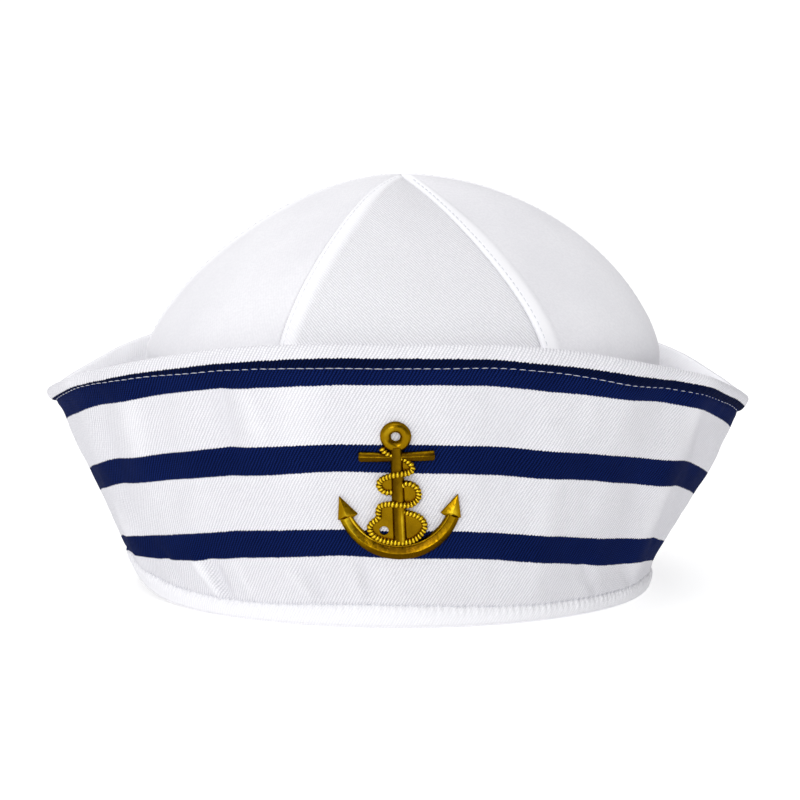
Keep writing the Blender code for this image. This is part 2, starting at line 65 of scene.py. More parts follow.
# Sizes of the badge, within a millimetre of the solid's
BADGE_WIDTH = 0.0404
BADGE_HEIGHT = 0.0468
BADGE_DROP = 0.0253
BADGE_ASIDE = 0.00105
BADGE_TILT = 1.55
BADGE_SLANT = 0.052
BADGE_GAP = 0.0003
RING_RADIUS = 0.0051
RING_HOLE_RADIUS = 0.0015
RING_THICK = 0.0021
STOCK_LENGTH = 0.0246
STOCK_WIDTH = 0.0030
STOCK_THICK = 0.0022
SHANK_WIDTH = 0.0044
SHANK_THICK = 0.0026
ARM_RADIUS = 0.0207
ARM_WIDTH = 0.0052
ARM_THICK = 0.0026
ARM_REACH = 0.965
FLUKE_THICK = 0.0024
ROPE_RADIUS = 0.00102
ROPE_PITCH = 0.00118
WEB_THICK = 0.0009
WEB_TONE = 0.40
WEB_HOLE_RADIUS = 0.0015

# Relief of the cloth
RIM_PUFF = 0.0008
HEM_PUFF = 0.0008
STITCH_PINCH = 0.0005
PINCH_WIDTH = 0.0009
HEM_GATHER = 0.0026
RIM_ROUND = 0.0014
FOOT_ROUND = 0.0010
ZONE = 0.0112
SEAM_GROOVE = 0.0006
SEAM_WIDTH = 0.0008
ALLOWANCE_WIDTH = 0.0078
ALLOWANCE_RISE = 0.00036
CLOTH_DENT = 0.0006
CREASE_DEPTH = 0.0052
BRIM_ROUGH = 0.00095

# The crown is rounder at its top towards the front: share of its radius, and how far down
TIP_WIDENING = 0.75
TIP_SPREAD = 0.009

# Threads
THREAD_RADIUS = 0.00015
RIM_PITCH = 0.0031
HEM_PITCH = 0.0028
SEAM_PITCH = 0.0027
SEAM_STITCH_AWAY = 0.0019

# Twill ribs: the distance between them, their turn in degrees, and the yarns across them
RIB_PITCH = 0.0010
RIB_ANGLE = 61.0
CROWN_RIB_PITCH = 0.00094
CROWN_RIB_ANGLE = 50.0
YARN_PITCH = 0.0007
YARN_SHARE = 0.45

# The studio's light: its strength, the direction in which it is dimmer, its strength there,
# and the share of it that is left towards -X
STUDIO_LIGHT = 1.12
SHADED_SIDE = (0.80, -0.57, 0.18)
SHADED_LIGHT = 0.16
LEFT_LIGHT = 0.58

# Mesh steps
BRIM_COLUMNS = 840
MIDDLE_ROWS = 36
PANEL_COLUMNS = 56
DOME_ROWS = 150
ROPE_STEPS = 24

# Kinds of places up the brim's section
FROM_FOOT, MIDDLE, FROM_RIM = range(3)

# Distances below the rim of the stripes' upper and lower edges, in the cloth's own coordinates
STRIPES = ((0.0046, 0.0138), (0.0338, 0.0434), (0.0632, 0.0726))

# The same six distances in millimetres, measured down the wall round the cap
# azimuth: degrees. top and bottom of the first, the second and the third stripe
STRIPE_ROWS = (
    (-180, 4.6, 13.6, 33.8, 43.2, 63.2, 72.2),
    (-125, 4.6, 13.6, 33.8, 43.2, 62.6, 71.4),
    (-95, 4.0, 13.2, 33.0, 41.8, 60.0, 65.2),
    (-75, 3.9, 13.2, 32.6, 41.6, 60.0, 66.4),
    (-60, 3.8, 13.3, 33.0, 42.4, 61.5, 69.8),
    (-50, 4.0, 13.1, 33.2, 42.8, 62.2, 71.2),
    (-40, 4.6, 13.2, 33.6, 43.3, 62.6, 72.3),
    (-26, 4.9, 14.3, 34.4, 44.3, 63.4, 72.9),
    (-13, 4.5, 13.7, 33.6, 43.2, 63.0, 72.2),
    (13, 4.5, 13.7, 33.9, 43.7, 63.3, 72.8),
    (28, 5.3, 14.7, 34.8, 44.5, 64.3, 73.8),
    (44, 4.7, 13.8, 33.6, 43.2, 63.7, 73.6),
    (55, 3.9, 12.7, 32.6, 42.4, 62.6, 72.5),
    (65, 3.4, 12.3, 31.1, 40.8, 61.2, 70.5),
    (80, 3.8, 13.0, 31.5, 40.8, 60.9, 69.0),
    (125, 4.6, 13.6, 33.8, 43.2, 62.8, 71.8),
    (180, 4.6, 13.6, 33.8, 43.2, 63.2, 72.2),
)

# Rim of the brim from the front to the back, the same on both sides
# azimuth: degrees. rise: share of RIM_HEIGHT. reach: share of RIM_REACH
RIM_ROWS = (
    (0, 1.000, 0.447),
    (15, 0.998, 0.480),
    (30, 0.975, 0.555),
    (45, 0.921, 0.670),
    (60, 0.854, 0.815),
    (75, 0.774, 0.935),
    (90, 0.713, 1.000),
    (105, 0.756, 0.925),
    (120, 0.833, 0.810),
    (135, 0.900, 0.670),
    (150, 0.945, 0.555),
    (165, 0.968, 0.480),
    (180, 0.975, 0.447),
)

# Slope of the brim wall from the hem to the rim
# rise: share of the rim's height there. left, front, right: share of the rim's reach at that side
SLOPE_ROWS = (
    (0.00, 0.00, 0.00, 0.00),
    (0.12, 0.11, 0.12, 0.05),
    (0.34, 0.32, 0.34, 0.28),
    (0.55, 0.52, 0.55, 0.55),
    (0.77, 0.725, 0.77, 0.735),
    (0.90, 0.828, 0.90, 0.858),
    (1.00, 1.00, 1.00, 1.00),
)

# Soft folds and dents of the brim
# azimuth, spread: degrees. depth: share of BRIM_WALL, outward if positive. low, high: shares of the rise
FOLD_ROWS = (
    (61, 5, 0.60, 0.10, 1.20),
    (72, 7, -0.30, 0.05, 1.00),
    (-66, 6, 0.50, 0.10, 1.20),
    (-77, 7, -0.25, 0.05, 0.90),
    (-33, 5, -0.40, 0.55, 0.98),
    (-41, 6, 0.25, 0.10, 0.75),
    (38, 6, -0.25, 0.05, 0.60),
    (-53, 4, 0.50, 0.58, 0.90),
    (-63, 5, -0.80, 0.40, 0.92),
    (-44, 4, -0.35, 0.45, 0.95),
    (-18, 6, 0.40, 0.50, 0.95),
    (-8, 5, -0.28, 0.10, 0.60),
    (20, 7, -0.40, 0.45, 0.95),
    (30, 5, 0.40, 0.15, 0.70),
    (52, 5, -0.45, 0.40, 0.95),
    (68, 6, -0.55, 0.30, 0.92),
    (118, 8, 0.40, 0.10, 1.20),
    (-121, 8, 0.40, 0.10, 1.20),
    (152, 7, -0.30, 0.20, 0.90),
    (-160, 8, -0.30, 0.10, 0.80),
)

# Sharper creases of the brim, each a line between two places
# azimuth, rise: degrees and share of the rim's height. depth, width: shares of CREASE_DEPTH and BRIM_WALL
CREASE_ROWS = (
    (-33.0, 0.84, -31.0, 0.60, -0.22, 1.2),
    (-29.0, 0.88, -25.5, 0.66, 0.20, 1.6),
    (62.5, 0.90, 66.0, 0.62, 0.11, 1.8),
    (66.0, 0.62, 73.0, 0.25, 0.13, 1.8),
    (-43.0, 0.22, -37.5, 0.08, 0.30, 0.9),
    (-39.0, 0.21, -35.0, 0.08, -0.34, 0.9),
    (-33.0, 0.22, -29.0, 0.09, 0.16, 1.0),
    (-21.0, 0.20, -16.0, 0.10, 0.16, 1.0),
    (-18.0, 0.21, -13.0, 0.10, -0.18, 1.0),
    (-8.5, 0.24, -6.0, 0.11, 0.15, 0.9),
    (-6.0, 0.24, -3.5, 0.11, -0.15, 0.9),
    (-55.0, 0.24, -47.0, 0.10, -0.16, 1.1),
    (48.0, 0.08, 42.0, 0.22, -0.16, 1.1),
    (62.0, 0.08, 56.0, 0.17, -0.12, 0.9),
)

# Where the hem lifts off the surface
# azimuth, spread: degrees. lift: share of HEM_HEIGHT
LIFT_ROWS = ((-84, 21, 0.70),)

# Distance of the rim's stitching below the rim
# azimuth: degrees. down: share of RIM_BAND
RIM_SEAM_ROWS = (
    (-180, 1.00),
    (-115, 0.82),
    (-75, 0.66),
    (-62, 0.67),
    (-50, 0.78),
    (-39, 0.95),
    (-25, 1.04),
    (0, 1.05),
    (25, 1.05),
    (36, 1.12),
    (45, 1.12),
    (55, 1.00),
    (65, 0.92),
    (110, 0.96),
    (180, 1.00),
)

# Where the rim's thread is drawn into the cloth
# azimuth, spread: degrees. share: share of THREAD_RADIUS
RIM_SUNK = ((68, 16, 0.55), (-62, 20, -0.35))

# Height of the hem's stitching round the cap
# azimuth: degrees. height: share of HEM_HEIGHT
HEM_ROWS = (
    (-180, 0.95),
    (-90, 0.95),
    (-60, 0.98),
    (-35, 0.82),
    (0, 1.03),
    (28, 0.78),
    (60, 0.74),
    (90, 0.80),
    (180, 0.95),
)

# Outline of the crown at each seam
# azimuth: degrees before the crown's turn. shoulder: larger is fuller low down. dome: larger is more pointed
SEAM_ROWS = (
    (-150, 1.60, 0.65),
    (-90, 1.36, 0.56),
    (-30, 1.67, 0.82),
    (30, 1.79, 1.08),
    (90, 1.58, 0.503),
    (150, 1.62, 0.65),
)

# Outline of the half arrowhead at an arm's end
# across: share of half the badge's width. up: share of the badge's height
FLUKE_TIP = (0.965, 0.462)
FLUKE_OUTER = (1.000, 0.290)
FLUKE_INNER = (0.668, 0.331)

# Sections of the badge's bars, each from one foot over the crest to the other
# sideways: share of half the width. lift: share of the thickness. tone: painted light and shade, shine:
# painted highlight; 0 dark, 1 bright
STOCK_ROWS = (
    (-1.00, -0.20, -0.2),
    (-1.00, 0.36, -0.1),
    (-0.93, 0.52, 0.2),
    (-0.72, 0.72, 0.0),
    (-0.35, 0.86, -0.2),
    (0.04, 0.93, -0.1),
    (0.20, 1.00, 0.3),
    (0.36, 0.93, 0.0),
    (0.66, 0.74, -0.1),
    (0.92, 0.50, 0.6),
    (1.00, 0.34, 0.1),
    (1.00, -0.20, -0.2),
)
SHANK_ROWS = (
    (-1.00, -0.20, -0.1, 0.0),
    (-1.00, 0.12, 0.0, 0.0),
    (-0.94, 0.34, -0.1, 0.0),
    (-0.80, 0.58, 0.0, 0.0),
    (-0.55, 0.80, 0.0, 0.0),
    (-0.25, 0.94, 0.05, 0.0),
    (0.05, 1.00, 0.1, 0.3),
    (0.35, 0.98, 0.15, 0.8),
    (0.60, 0.84, 0.2, 0.5),
    (0.82, 0.60, 0.1, 0.1),
    (0.95, 0.34, 0.0, 0.0),
    (1.00, 0.10, -0.1, 0.0),
    (1.00, -0.20, -0.1, 0.0),
)

# The same for the arms, but sideways: share of the width from the outer edge
ARM_ROWS = (
    (0.00, -0.30, 0.0),
    (0.00, 0.34, 0.1),
    (0.05, 0.46, 0.2),
    (0.40, 0.93, 0.3),
    (0.46, 1.00, 0.8),
    (0.52, 0.95, 0.6),
    (0.82, 0.60, 0.3),
    (0.88, 0.70, 0.8),
    (0.95, 0.66, 0.7),
    (1.00, 0.48, 0.2),
    (1.00, -0.30, 0.0),
)

# Rope round the shank, from the ring down to the arms
# across: share of half the badge's width. up: share of its height. lift: share of the shank's thickness
ROPE_ROWS = (
    (-0.240, 0.818, 0.36),
    (-0.165, 0.780, 0.36),
    (-0.040, 0.750, 0.30),
    (0.120, 0.728, 0.32),
    (0.225, 0.690, 0.42),
    (0.235, 0.656, 0.46),
    (0.160, 0.636, 0.70),
    (0.000, 0.630, 0.98),
    (-0.150, 0.612, 0.72),
    (-0.270, 0.578, 0.44),
    (-0.290, 0.534, 0.42),
    (-0.190, 0.494, 0.36),
    (-0.020, 0.505, 0.30),
    (0.130, 0.556, 0.40),
    (0.270, 0.535, 0.46),
    (0.325, 0.486, 0.46),
    (0.300, 0.438, 0.46),
    (0.180, 0.404, 0.70),
    (-0.010, 0.412, 0.98),
    (-0.160, 0.412, 0.72),
    (-0.290, 0.392, 0.46),
    (-0.325, 0.352, 0.44),
    (-0.330, 0.308, 0.44),
    (-0.430, 0.272, 0.44),
    (-0.478, 0.232, 0.46),
    (-0.430, 0.186, 0.52),
    (-0.320, 0.152, 0.56),
    (-0.180, 0.134, 0.58),
    (0.000, 0.128, 0.60),
    (0.165, 0.136, 0.58),
    (0.285, 0.164, 0.54),
    (0.370, 0.206, 0.48),
    (0.402, 0.246, 0.46),
    (0.365, 0.290, 0.44),
    (0.270, 0.322, 0.42),
    (0.130, 0.342, 0.36),
    (0.000, 0.352, 0.30),
)

# Stretches of the rope, first and last row, whose loop a thin web fills
WEB_ROWS = ((3, 7), (7, 12), (12, 18), (18, 28), (28, 36))

# Through hole in the web: across and up as in the rope's rows
WEB_HOLE = (-0.250, 0.213)

# Places on the anchor, as shares of the badge's height
RING_UP = 1.0 - RING_RADIUS / BADGE_HEIGHT
STOCK_UP = 0.752
SHANK_FOOT_UP = 0.135
SHANK_TOP_UP = 0.82


# Curves and places


def smooth_step(low, high, at):
    t = np.clip((at - low) / (high - low), 0.0, 1.0)
    return t * t * (3 - 2 * t)


def bell(away, width):
    """1 at a place and falling smoothly to 0 away from it."""
    return np.exp(-((away / width) ** 2))


def curve_through(rows, column, at, level=True):
    """A smooth curve through a table's column over its first one, level at both ends unless told not."""
    table = np.array(rows, float)
    stations, values = table[:, 0], table[:, column]
    tangents = np.gradient(values, stations)
    if level:
        tangents[0] = tangents[-1] = 0.0
    at = np.clip(at, stations[0], stations[-1])
    row = np.clip(np.searchsorted(stations, at) - 1, 0, len(stations) - 2)
    span = stations[row + 1] - stations[row]
    t = (at - stations[row]) / span
    return (
        (2 * t**3 - 3 * t**2 + 1) * values[row]
        + (t**3 - 2 * t**2 + t) * span * tangents[row]
        + (3 * t**2 - 2 * t**3) * values[row + 1]
        + (t**3 - t**2) * span * tangents[row + 1]
    )


def turned(azimuth):
    """The same azimuth from -180 to 180 degrees."""
    return (azimuth + 180.0) % 360.0 - 180.0


def unit(vectors):
    return vectors / np.maximum(np.linalg.norm(vectors, axis=-1, keepdims=True), 1e-12)


def run_along(points):
    """Lengths along each line of points, from its first point."""
    steps = np.linalg.norm(np.diff(points, axis=-2), axis=-1)
    return np.concatenate([0 * steps[..., :1], np.cumsum(steps, axis=-1)], axis=-1)


def soft_noise(points, spacing, seed=0):
    """Smooth noise from about -0.5 to 0.5 at each point. spacing is the distance between its bumps."""
    flat = np.asarray(points, float).reshape(-1, 3) / spacing + 17.3 * seed
    values = [noise.noise(Vector(point)) for point in flat]
    return np.array(values).reshape(np.shape(points)[:-1])


def foot_lift(azimuth):
    lifts = [HEM_HEIGHT * share * bell(turned(azimuth - at), spread) for at, spread, share in LIFT_ROWS]
    return sum(lifts)


def around(azimuth, radius, height):
    """The point at an azimuth, a radius and a height. The cap's foot lies towards -X and lifts in places."""
    angle = np.radians(azimuth)
    low = 1 - smooth_step(0.0, SHOULDER_HEIGHT, height)
    x = radius * np.sin(angle) - LEAN * low
    y = -radius * np.cos(angle)
    z = height + foot_lift(azimuth) * low
    return np.stack(np.broadcast_arrays(x, y, z), axis=-1)


# The brim's wall


def rim_rise(azimuth):
    return RIM_HEIGHT * curve_through(RIM_ROWS, 1, abs(turned(azimuth)))


def rim_reach(azimuth):
    return RIM_REACH * curve_through(RIM_ROWS, 2, abs(turned(azimuth)))


def slope_share(azimuth, rise):
    """How far out the wall is at a share of its height, between the hem at 0 and the rim at 1."""
    left, front, right = (curve_through(SLOPE_ROWS, side, rise, level=False) for side in (1, 2, 3))
    sideways = np.sin(np.radians(azimuth))
    side = np.where(sideways > 0, right, left)
    return front + (side - front) * sideways**2


def fold_depth(azimuth, rise):
    depth = 0.0
    fade = 0.12
    for middle, spread, share, low, high in FOLD_ROWS:
        within = smooth_step(low - fade, low + fade, rise) * (1 - smooth_step(high - fade, high + fade, rise))
        depth = depth + BRIM_WALL * share * bell(turned(azimuth - middle), spread) * within
    return depth


def crease_depth(azimuth, rise):
    """The sharper creases: each is a ridge or a groove along a line, fading at its ends."""
    depth = 0.0
    for azimuth_1, rise_1, azimuth_2, rise_2, share, width in CREASE_ROWS:
        across = np.radians(turned(azimuth - azimuth_1)) * HEM_RADIUS
        up = (rise - rise_1) * RIM_HEIGHT
        line = np.array([math.radians(azimuth_2 - azimuth_1) * HEM_RADIUS, (rise_2 - rise_1) * RIM_HEIGHT])
        length = np.linalg.norm(line)
        line = line / length
        along = (across * line[0] + up * line[1]) / length
        beside = across * line[1] - up * line[0]
        ends = smooth_step(-0.25, 0.25, along) * (1 - smooth_step(0.75, 1.25, along))
        depth = depth + CREASE_DEPTH * share * bell(beside, width * BRIM_WALL) * ends
    return depth


def wall_line(azimuth, height):
    """Radius of the brim's outer face at a height, without the puffed bands."""
    rise = height / rim_rise(azimuth)
    folds = fold_depth(azimuth, rise) + crease_depth(azimuth, rise)
    return HEM_RADIUS + rim_reach(azimuth) * slope_share(azimuth, rise) + folds


def wall_frame(azimuth, height):
    """Points, directions to +X along the wall, directions up the wall and outward directions."""
    step = 0.0005
    turn = math.degrees(step / HEM_RADIUS)

    def place(to_side, up):
        return around(azimuth + to_side, wall_line(azimuth + to_side, height + up), height + up)

    sideways = unit(place(turn, 0.0) - place(-turn, 0.0))
    upward = unit(place(0.0, step) - place(0.0, -step))
    return place(0.0, 0.0), sideways, upward, unit(np.cross(sideways, upward))


def wall_run(azimuth):
    """Heights up the wall at each azimuth, and the wall's length from the hem to each of them."""
    heights = rim_rise(azimuth)[:, None] * np.linspace(0.0, 1.0, 160)
    return heights, run_along(around(azimuth[:, None], wall_line(azimuth[:, None], heights), heights))


def wall_heights(azimuth, from_rim):
    """Heights of the places at distances down the wall from the rim. from_rim has a row for each azimuth."""
    heights, up = wall_run(azimuth)
    wanted = up[:, -1:] - from_rim
    return np.array([np.interp(w, u, h) for w, u, h in zip(wanted, up, heights)])


def wall_length(azimuth):
    return wall_run(azimuth)[1][:, -1]


def cloth_width(azimuth):
    """Distance round the cap at the middle of the brim."""
    return np.radians(azimuth) * (HEM_RADIUS + RIM_REACH / 3)


def rim_seam(azimuth):
    return RIM_BAND * curve_through(RIM_SEAM_ROWS, 1, turned(azimuth))


def hem_top(azimuth):
    return HEM_HEIGHT * curve_through(HEM_ROWS, 1, turned(azimuth))


def hem_seam(azimuth):
    """Distance of the hem's stitching below the rim."""
    return wall_length(azimuth) - hem_top(azimuth)


def pucker(azimuth, pitch):
    """1 halfway between two stitches and 0 at them."""
    return 0.5 - 0.5 * np.cos(2 * np.pi * cloth_width(azimuth) / pitch)


def outer_puff(azimuth, from_rim, from_foot):
    """How far the outer face stands off the plain wall, at the rolled rim and the rolled hem."""
    seam, top = rim_seam(azimuth), hem_top(azimuth)
    rim_pucker, hem_pucker = pucker(azimuth, RIM_PITCH), pucker(azimuth, HEM_PITCH)
    rim_share, hem_share = np.clip(from_rim / seam, 0.0, 1.0), np.clip(from_foot / top, 0.0, 1.0)
    uneven = 0.75 + 0.5 * np.sin(0.41 * azimuth) * np.sin(1.13 * azimuth + 0.7)
    hem_pucker = hem_pucker * (uneven + 0.4 * np.sin(np.radians(azimuth)) ** 2)
    gathers = 0.80 + 0.85 * bell(from_foot - top, HEM_GATHER) * hem_pucker
    puff = RIM_PUFF * np.sin(np.pi * rim_share**1.25) ** 0.7 * (0.85 + 0.3 * rim_pucker)
    puff += HEM_PUFF * np.sin(np.pi * hem_share**0.85) ** 0.6 * gathers
    puff -= STITCH_PINCH * bell(from_rim - seam, PINCH_WIDTH) * (1.1 - 0.5 * rim_pucker)
    return puff - STITCH_PINCH * bell(from_foot - top, PINCH_WIDTH) * (1.5 - 1.1 * hem_pucker)


def brim_face(azimuth, from_rim):
    """Wall points, outward directions and the outer face's and the cloth's relief there.

    from_rim has a row of distances for each azimuth.
    """
    heights = wall_heights(azimuth, from_rim)
    point, _, _, outward = wall_frame(azimuth[:, None], heights)
    from_foot = wall_length(azimuth)[:, None] - from_rim
    rough = BRIM_ROUGH * (soft_noise(point, 0.022) + 0.35 * soft_noise(point, 0.007, 1))
    rough *= smooth_step(0.0, 0.012, from_foot)
    return point, outward, outer_puff(azimuth[:, None], from_rim, from_foot), rough


def cloth_down(azimuth, from_rim):
    """The cloth's own distance below the rim, in which every stripe keeps its width."""
    below = 0.110
    edges = np.array(STRIPES).ravel()
    found = [curve_through(STRIPE_ROWS, column, turned(azimuth)) / 1000 for column in range(1, 7)]
    own = [0.0, *edges, edges[-1] + below]
    stations = np.stack([0 * azimuth, *found, found[-1] + below], axis=1)
    return np.array([np.interp(down, here, own) for down, here in zip(from_rim, stations)])


# The crown's surface


def crown_shape(azimuth, column):
    """A column of the seam table, between two seams."""
    table = np.array(SEAM_ROWS)
    spacing = 360.0 / len(table)
    place = ((azimuth - CROWN_TURN - table[0, 0]) / spacing) % len(table)
    first = place.astype(int) % len(table)
    share = smooth_step(0.0, 1.0, place - first)
    return (1 - share) * table[first, column] + share * table[(first + 1) % len(table), column]


def side_swell(azimuth):
    """How far the crown bulges at its shoulder, over the brim on the +X side."""
    return SIDE_SWELL * np.maximum(np.sin(np.radians(azimuth)), 0.0) ** 2


def dome_point(azimuth, lean, across):
    """Radius and height of the crown's outer face. lean is 0 at the shoulder and 90 degrees at the top."""
    outer_radius = HEAD_RADIUS + CROWN_WALL + side_swell(azimuth)
    share = np.cos(np.radians(lean))
    shoulder, dome = crown_shape(azimuth, 1), crown_shape(azimuth, 2)
    height = SHOULDER_HEIGHT + (CROWN_HEIGHT - SHOULDER_HEIGHT) * (1 - share ** (1 / dome)) ** (1 / shoulder)
    flat = PANEL_FLATNESS * (1 - share**4) * (1 - (2 * across - 1) ** 2)
    forward = np.maximum(np.cos(np.radians(azimuth)), 0.0) ** 2
    wider = TIP_WIDENING * forward * np.exp((height - CROWN_HEIGHT) / TIP_SPREAD)
    return outer_radius * share * (1 - flat) * (1 + wider), height


def crown_place(number, across, at):
    """Points of a panel's outer face. at runs from 0 at its foot over 1 at the shoulder to 2 at the tip."""
    spacing = 360.0 / PANEL_COUNT
    azimuth = CROWN_TURN + spacing * (number - 1) + spacing * (across - 0.5)
    tip_lean = math.degrees(math.acos(0.01 * CROWN_WALL / (HEAD_RADIUS + CROWN_WALL)))
    low = CROWN_FOOT + (SHOULDER_HEIGHT - CROWN_FOOT) * np.clip(at, 0.0, 1.0)
    swell = side_swell(azimuth) * smooth_step(SHOULDER_HEIGHT / 4, SHOULDER_HEIGHT, low)
    radius, height = dome_point(azimuth, tip_lean * np.clip(at - 1.0, 0.0, 1.0), across)
    on_skirt = at < 1.0
    radius = np.where(on_skirt, HEAD_RADIUS + CROWN_WALL + swell, radius)
    height = np.where(on_skirt, low, height)
    return around(azimuth, radius, height)


# Meshes


def grid_mesh(name, points, uv, values, wrap_rows=False, flip=False):
    """A smooth mesh over a grid of points whose columns, and rows if wrap_rows, close on themselves.

    uv has one more column, and row, where the grid closes. values has floats for every point, by name.
    """
    rows, columns = points.shape[:2]
    i, j = np.meshgrid(np.arange(rows - (not wrap_rows)), np.arange(columns), indexing="ij")
    corners = [(i, j), (i, j + 1), (i + 1, j + 1), (i + 1, j)][:: -1 if flip else 1]
    faces = np.stack([(a % rows) * columns + b % columns for a, b in corners], axis=-1).reshape(-1, 4)
    mesh = bpy.data.meshes.new(name)
    mesh.from_pydata(points.reshape(-1, 3).tolist(), [], faces.tolist())
    corner_uv = np.stack([uv[a, b] for a, b in corners], axis=2)
    mesh.uv_layers.new(name="cloth").data.foreach_set("uv", corner_uv.astype(np.float32).ravel())
    for label, value in values.items():
        give_values(mesh, label, value)
    mesh.shade_smooth()
    return linked(name, mesh)


def give_values(mesh, label, values):
    """A float at every vertex, for the materials."""
    attribute = mesh.attributes.new(label, "FLOAT", "POINT")
    attribute.data.foreach_set("value", np.asarray(values, np.float32).ravel())


def linked(name, data):
    obj = bpy.data.objects.new(name, data)
    bpy.context.scene.collection.objects.link(obj)
    return obj


def dressed(obj, surface, slot, *nodes):
    """Gives a piece its material and its body, and hides the CAD nodes that it stands for. slot is not used.
    """
    obj.data.materials.append(surface)
    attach(obj, "root")
    if nodes:
        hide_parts(*nodes)
    return obj


def joined(name, objects):
    """One object from several, in plain mesh."""
    whole = bmesh.new()
    for obj in objects:
        whole.from_mesh(obj.data)
        bpy.data.objects.remove(obj)
    mesh = bpy.data.meshes.new(name)
    whole.to_mesh(mesh)
    whole.free()
    return linked(name, mesh)


def tube_faces(rings, corners, first=0, closed=False):
    """Faces between rings of as many corners. Unless the tube is closed on itself, both ends are capped."""
    faces = []
    for i in range(rings if closed else rings - 1):
        here, there = first + i * corners, first + (i + 1) % rings * corners
        for j in range(corners):
            k = (j + 1) % corners
            faces.append((here + j, here + k, there + k, there + j))
    if not closed:
        last = first + (rings - 1) * corners
        faces += [tuple(range(first, first + corners))[::-1], tuple(range(last, last + corners))]
    return faces


def brim_rows():
    """Rows of the brim's section: a kind, a place and across, 0 at the outer face and 1 at the inner one.

    The place is a distance from the foot, a share of the middle or a distance from the rim, as its kind says.
    """
    hem_zone = np.array([0.3, 0.7, 1.2, 1.8, 2.5, 3.3, 4.1, 4.9, 5.6, 6.2, 6.7, 7.1, 7.5, 7.9, 8.3, 8.8, 9.5])
    hem_zone = FOOT_ROUND + hem_zone / 1000
    rim_zone = np.concatenate([np.linspace(9.8, 4.5, 18), [4.0, 3.2, 2.4, 1.8]]) / 1000
    over, under = np.linspace(0, np.pi, 11), np.linspace(0, np.pi, 7)
    stretches = (
        (FROM_FOOT, hem_zone, 0.0),
        (MIDDLE, np.linspace(0, 1, MIDDLE_ROWS) ** 1.2, 0.0),
        (FROM_RIM, rim_zone, 0.0),
        (FROM_RIM, RIM_ROUND * (1 - np.sin(over)), (1 - np.cos(over)) / 2),
        (FROM_RIM, rim_zone[::-3], 1.0),
        (MIDDLE, np.linspace(1, 0, MIDDLE_ROWS // 3), 1.0),
        (FROM_FOOT, hem_zone[::-5], 1.0),
        (FROM_FOOT, FOOT_ROUND * (1 - np.sin(under) ** 0.5), (1 + np.cos(under)) / 2),
    )
    return np.concatenate([np.stack(np.broadcast_arrays(*stretch), axis=1) for stretch in stretches])


def make_brim():
    turn = np.linspace(-np.pi, np.pi, BRIM_COLUMNS, endpoint=False)
    azimuth = np.degrees(turn - 0.25 * np.sin(turn))
    length = wall_length(azimuth)[:, None]
    kind, place, across = (column[None, :] for column in brim_rows().T)
    up = np.where(kind == MIDDLE, ZONE + (length - 2 * ZONE) * place, place)
    up = np.where(kind == FROM_RIM, length - place, up)
    down = length - up
    point, outward, outer, rough = brim_face(azimuth, down)
    inner = -BRIM_WALL - 0.0004 * np.sin(np.pi * np.clip(down / RIM_BAND, 0.0, 1.0)) ** 0.7
    placed = point + outward * (outer * (1 - across) + inner * across + rough)[..., None]

    v = np.where(across < 0.6, cloth_down(azimuth, down), -down)
    u = np.broadcast_to(cloth_width(azimuth)[:, None], v.shape)
    uv = np.stack([u, v], axis=-1).transpose(1, 0, 2)
    uv = np.concatenate([uv, uv[-1:] - np.array([0.0, 0.002])])
    uv = np.concatenate([uv, uv[:, :1] + np.array([cloth_width(360.0), 0.0])], axis=1)
    outside = across < 0.5
    hem = np.clip((hem_top(azimuth)[:, None] - up) * 1000, -3.0, 3.0)
    band = smooth_step(0.0, 0.0008, rim_seam(azimuth)[:, None] - down)
    rise = wall_heights(azimuth, down) / rim_rise(azimuth)[:, None]
    # Depth of the folds and creases in millimetres: the material paints shade in their hollows and light on
    # their ridges
    relief = 1000 * (fold_depth(azimuth[:, None], rise) + crease_depth(azimuth[:, None], rise))
    hem, band, relief = np.where(outside, hem, -3.0), band * outside, relief * outside
    values = {"hem": hem.T, "band": band.T, "relief": relief.T}
    return grid_mesh("brim_cloth", placed.transpose(1, 0, 2), uv, values, wrap_rows=True, flip=True)


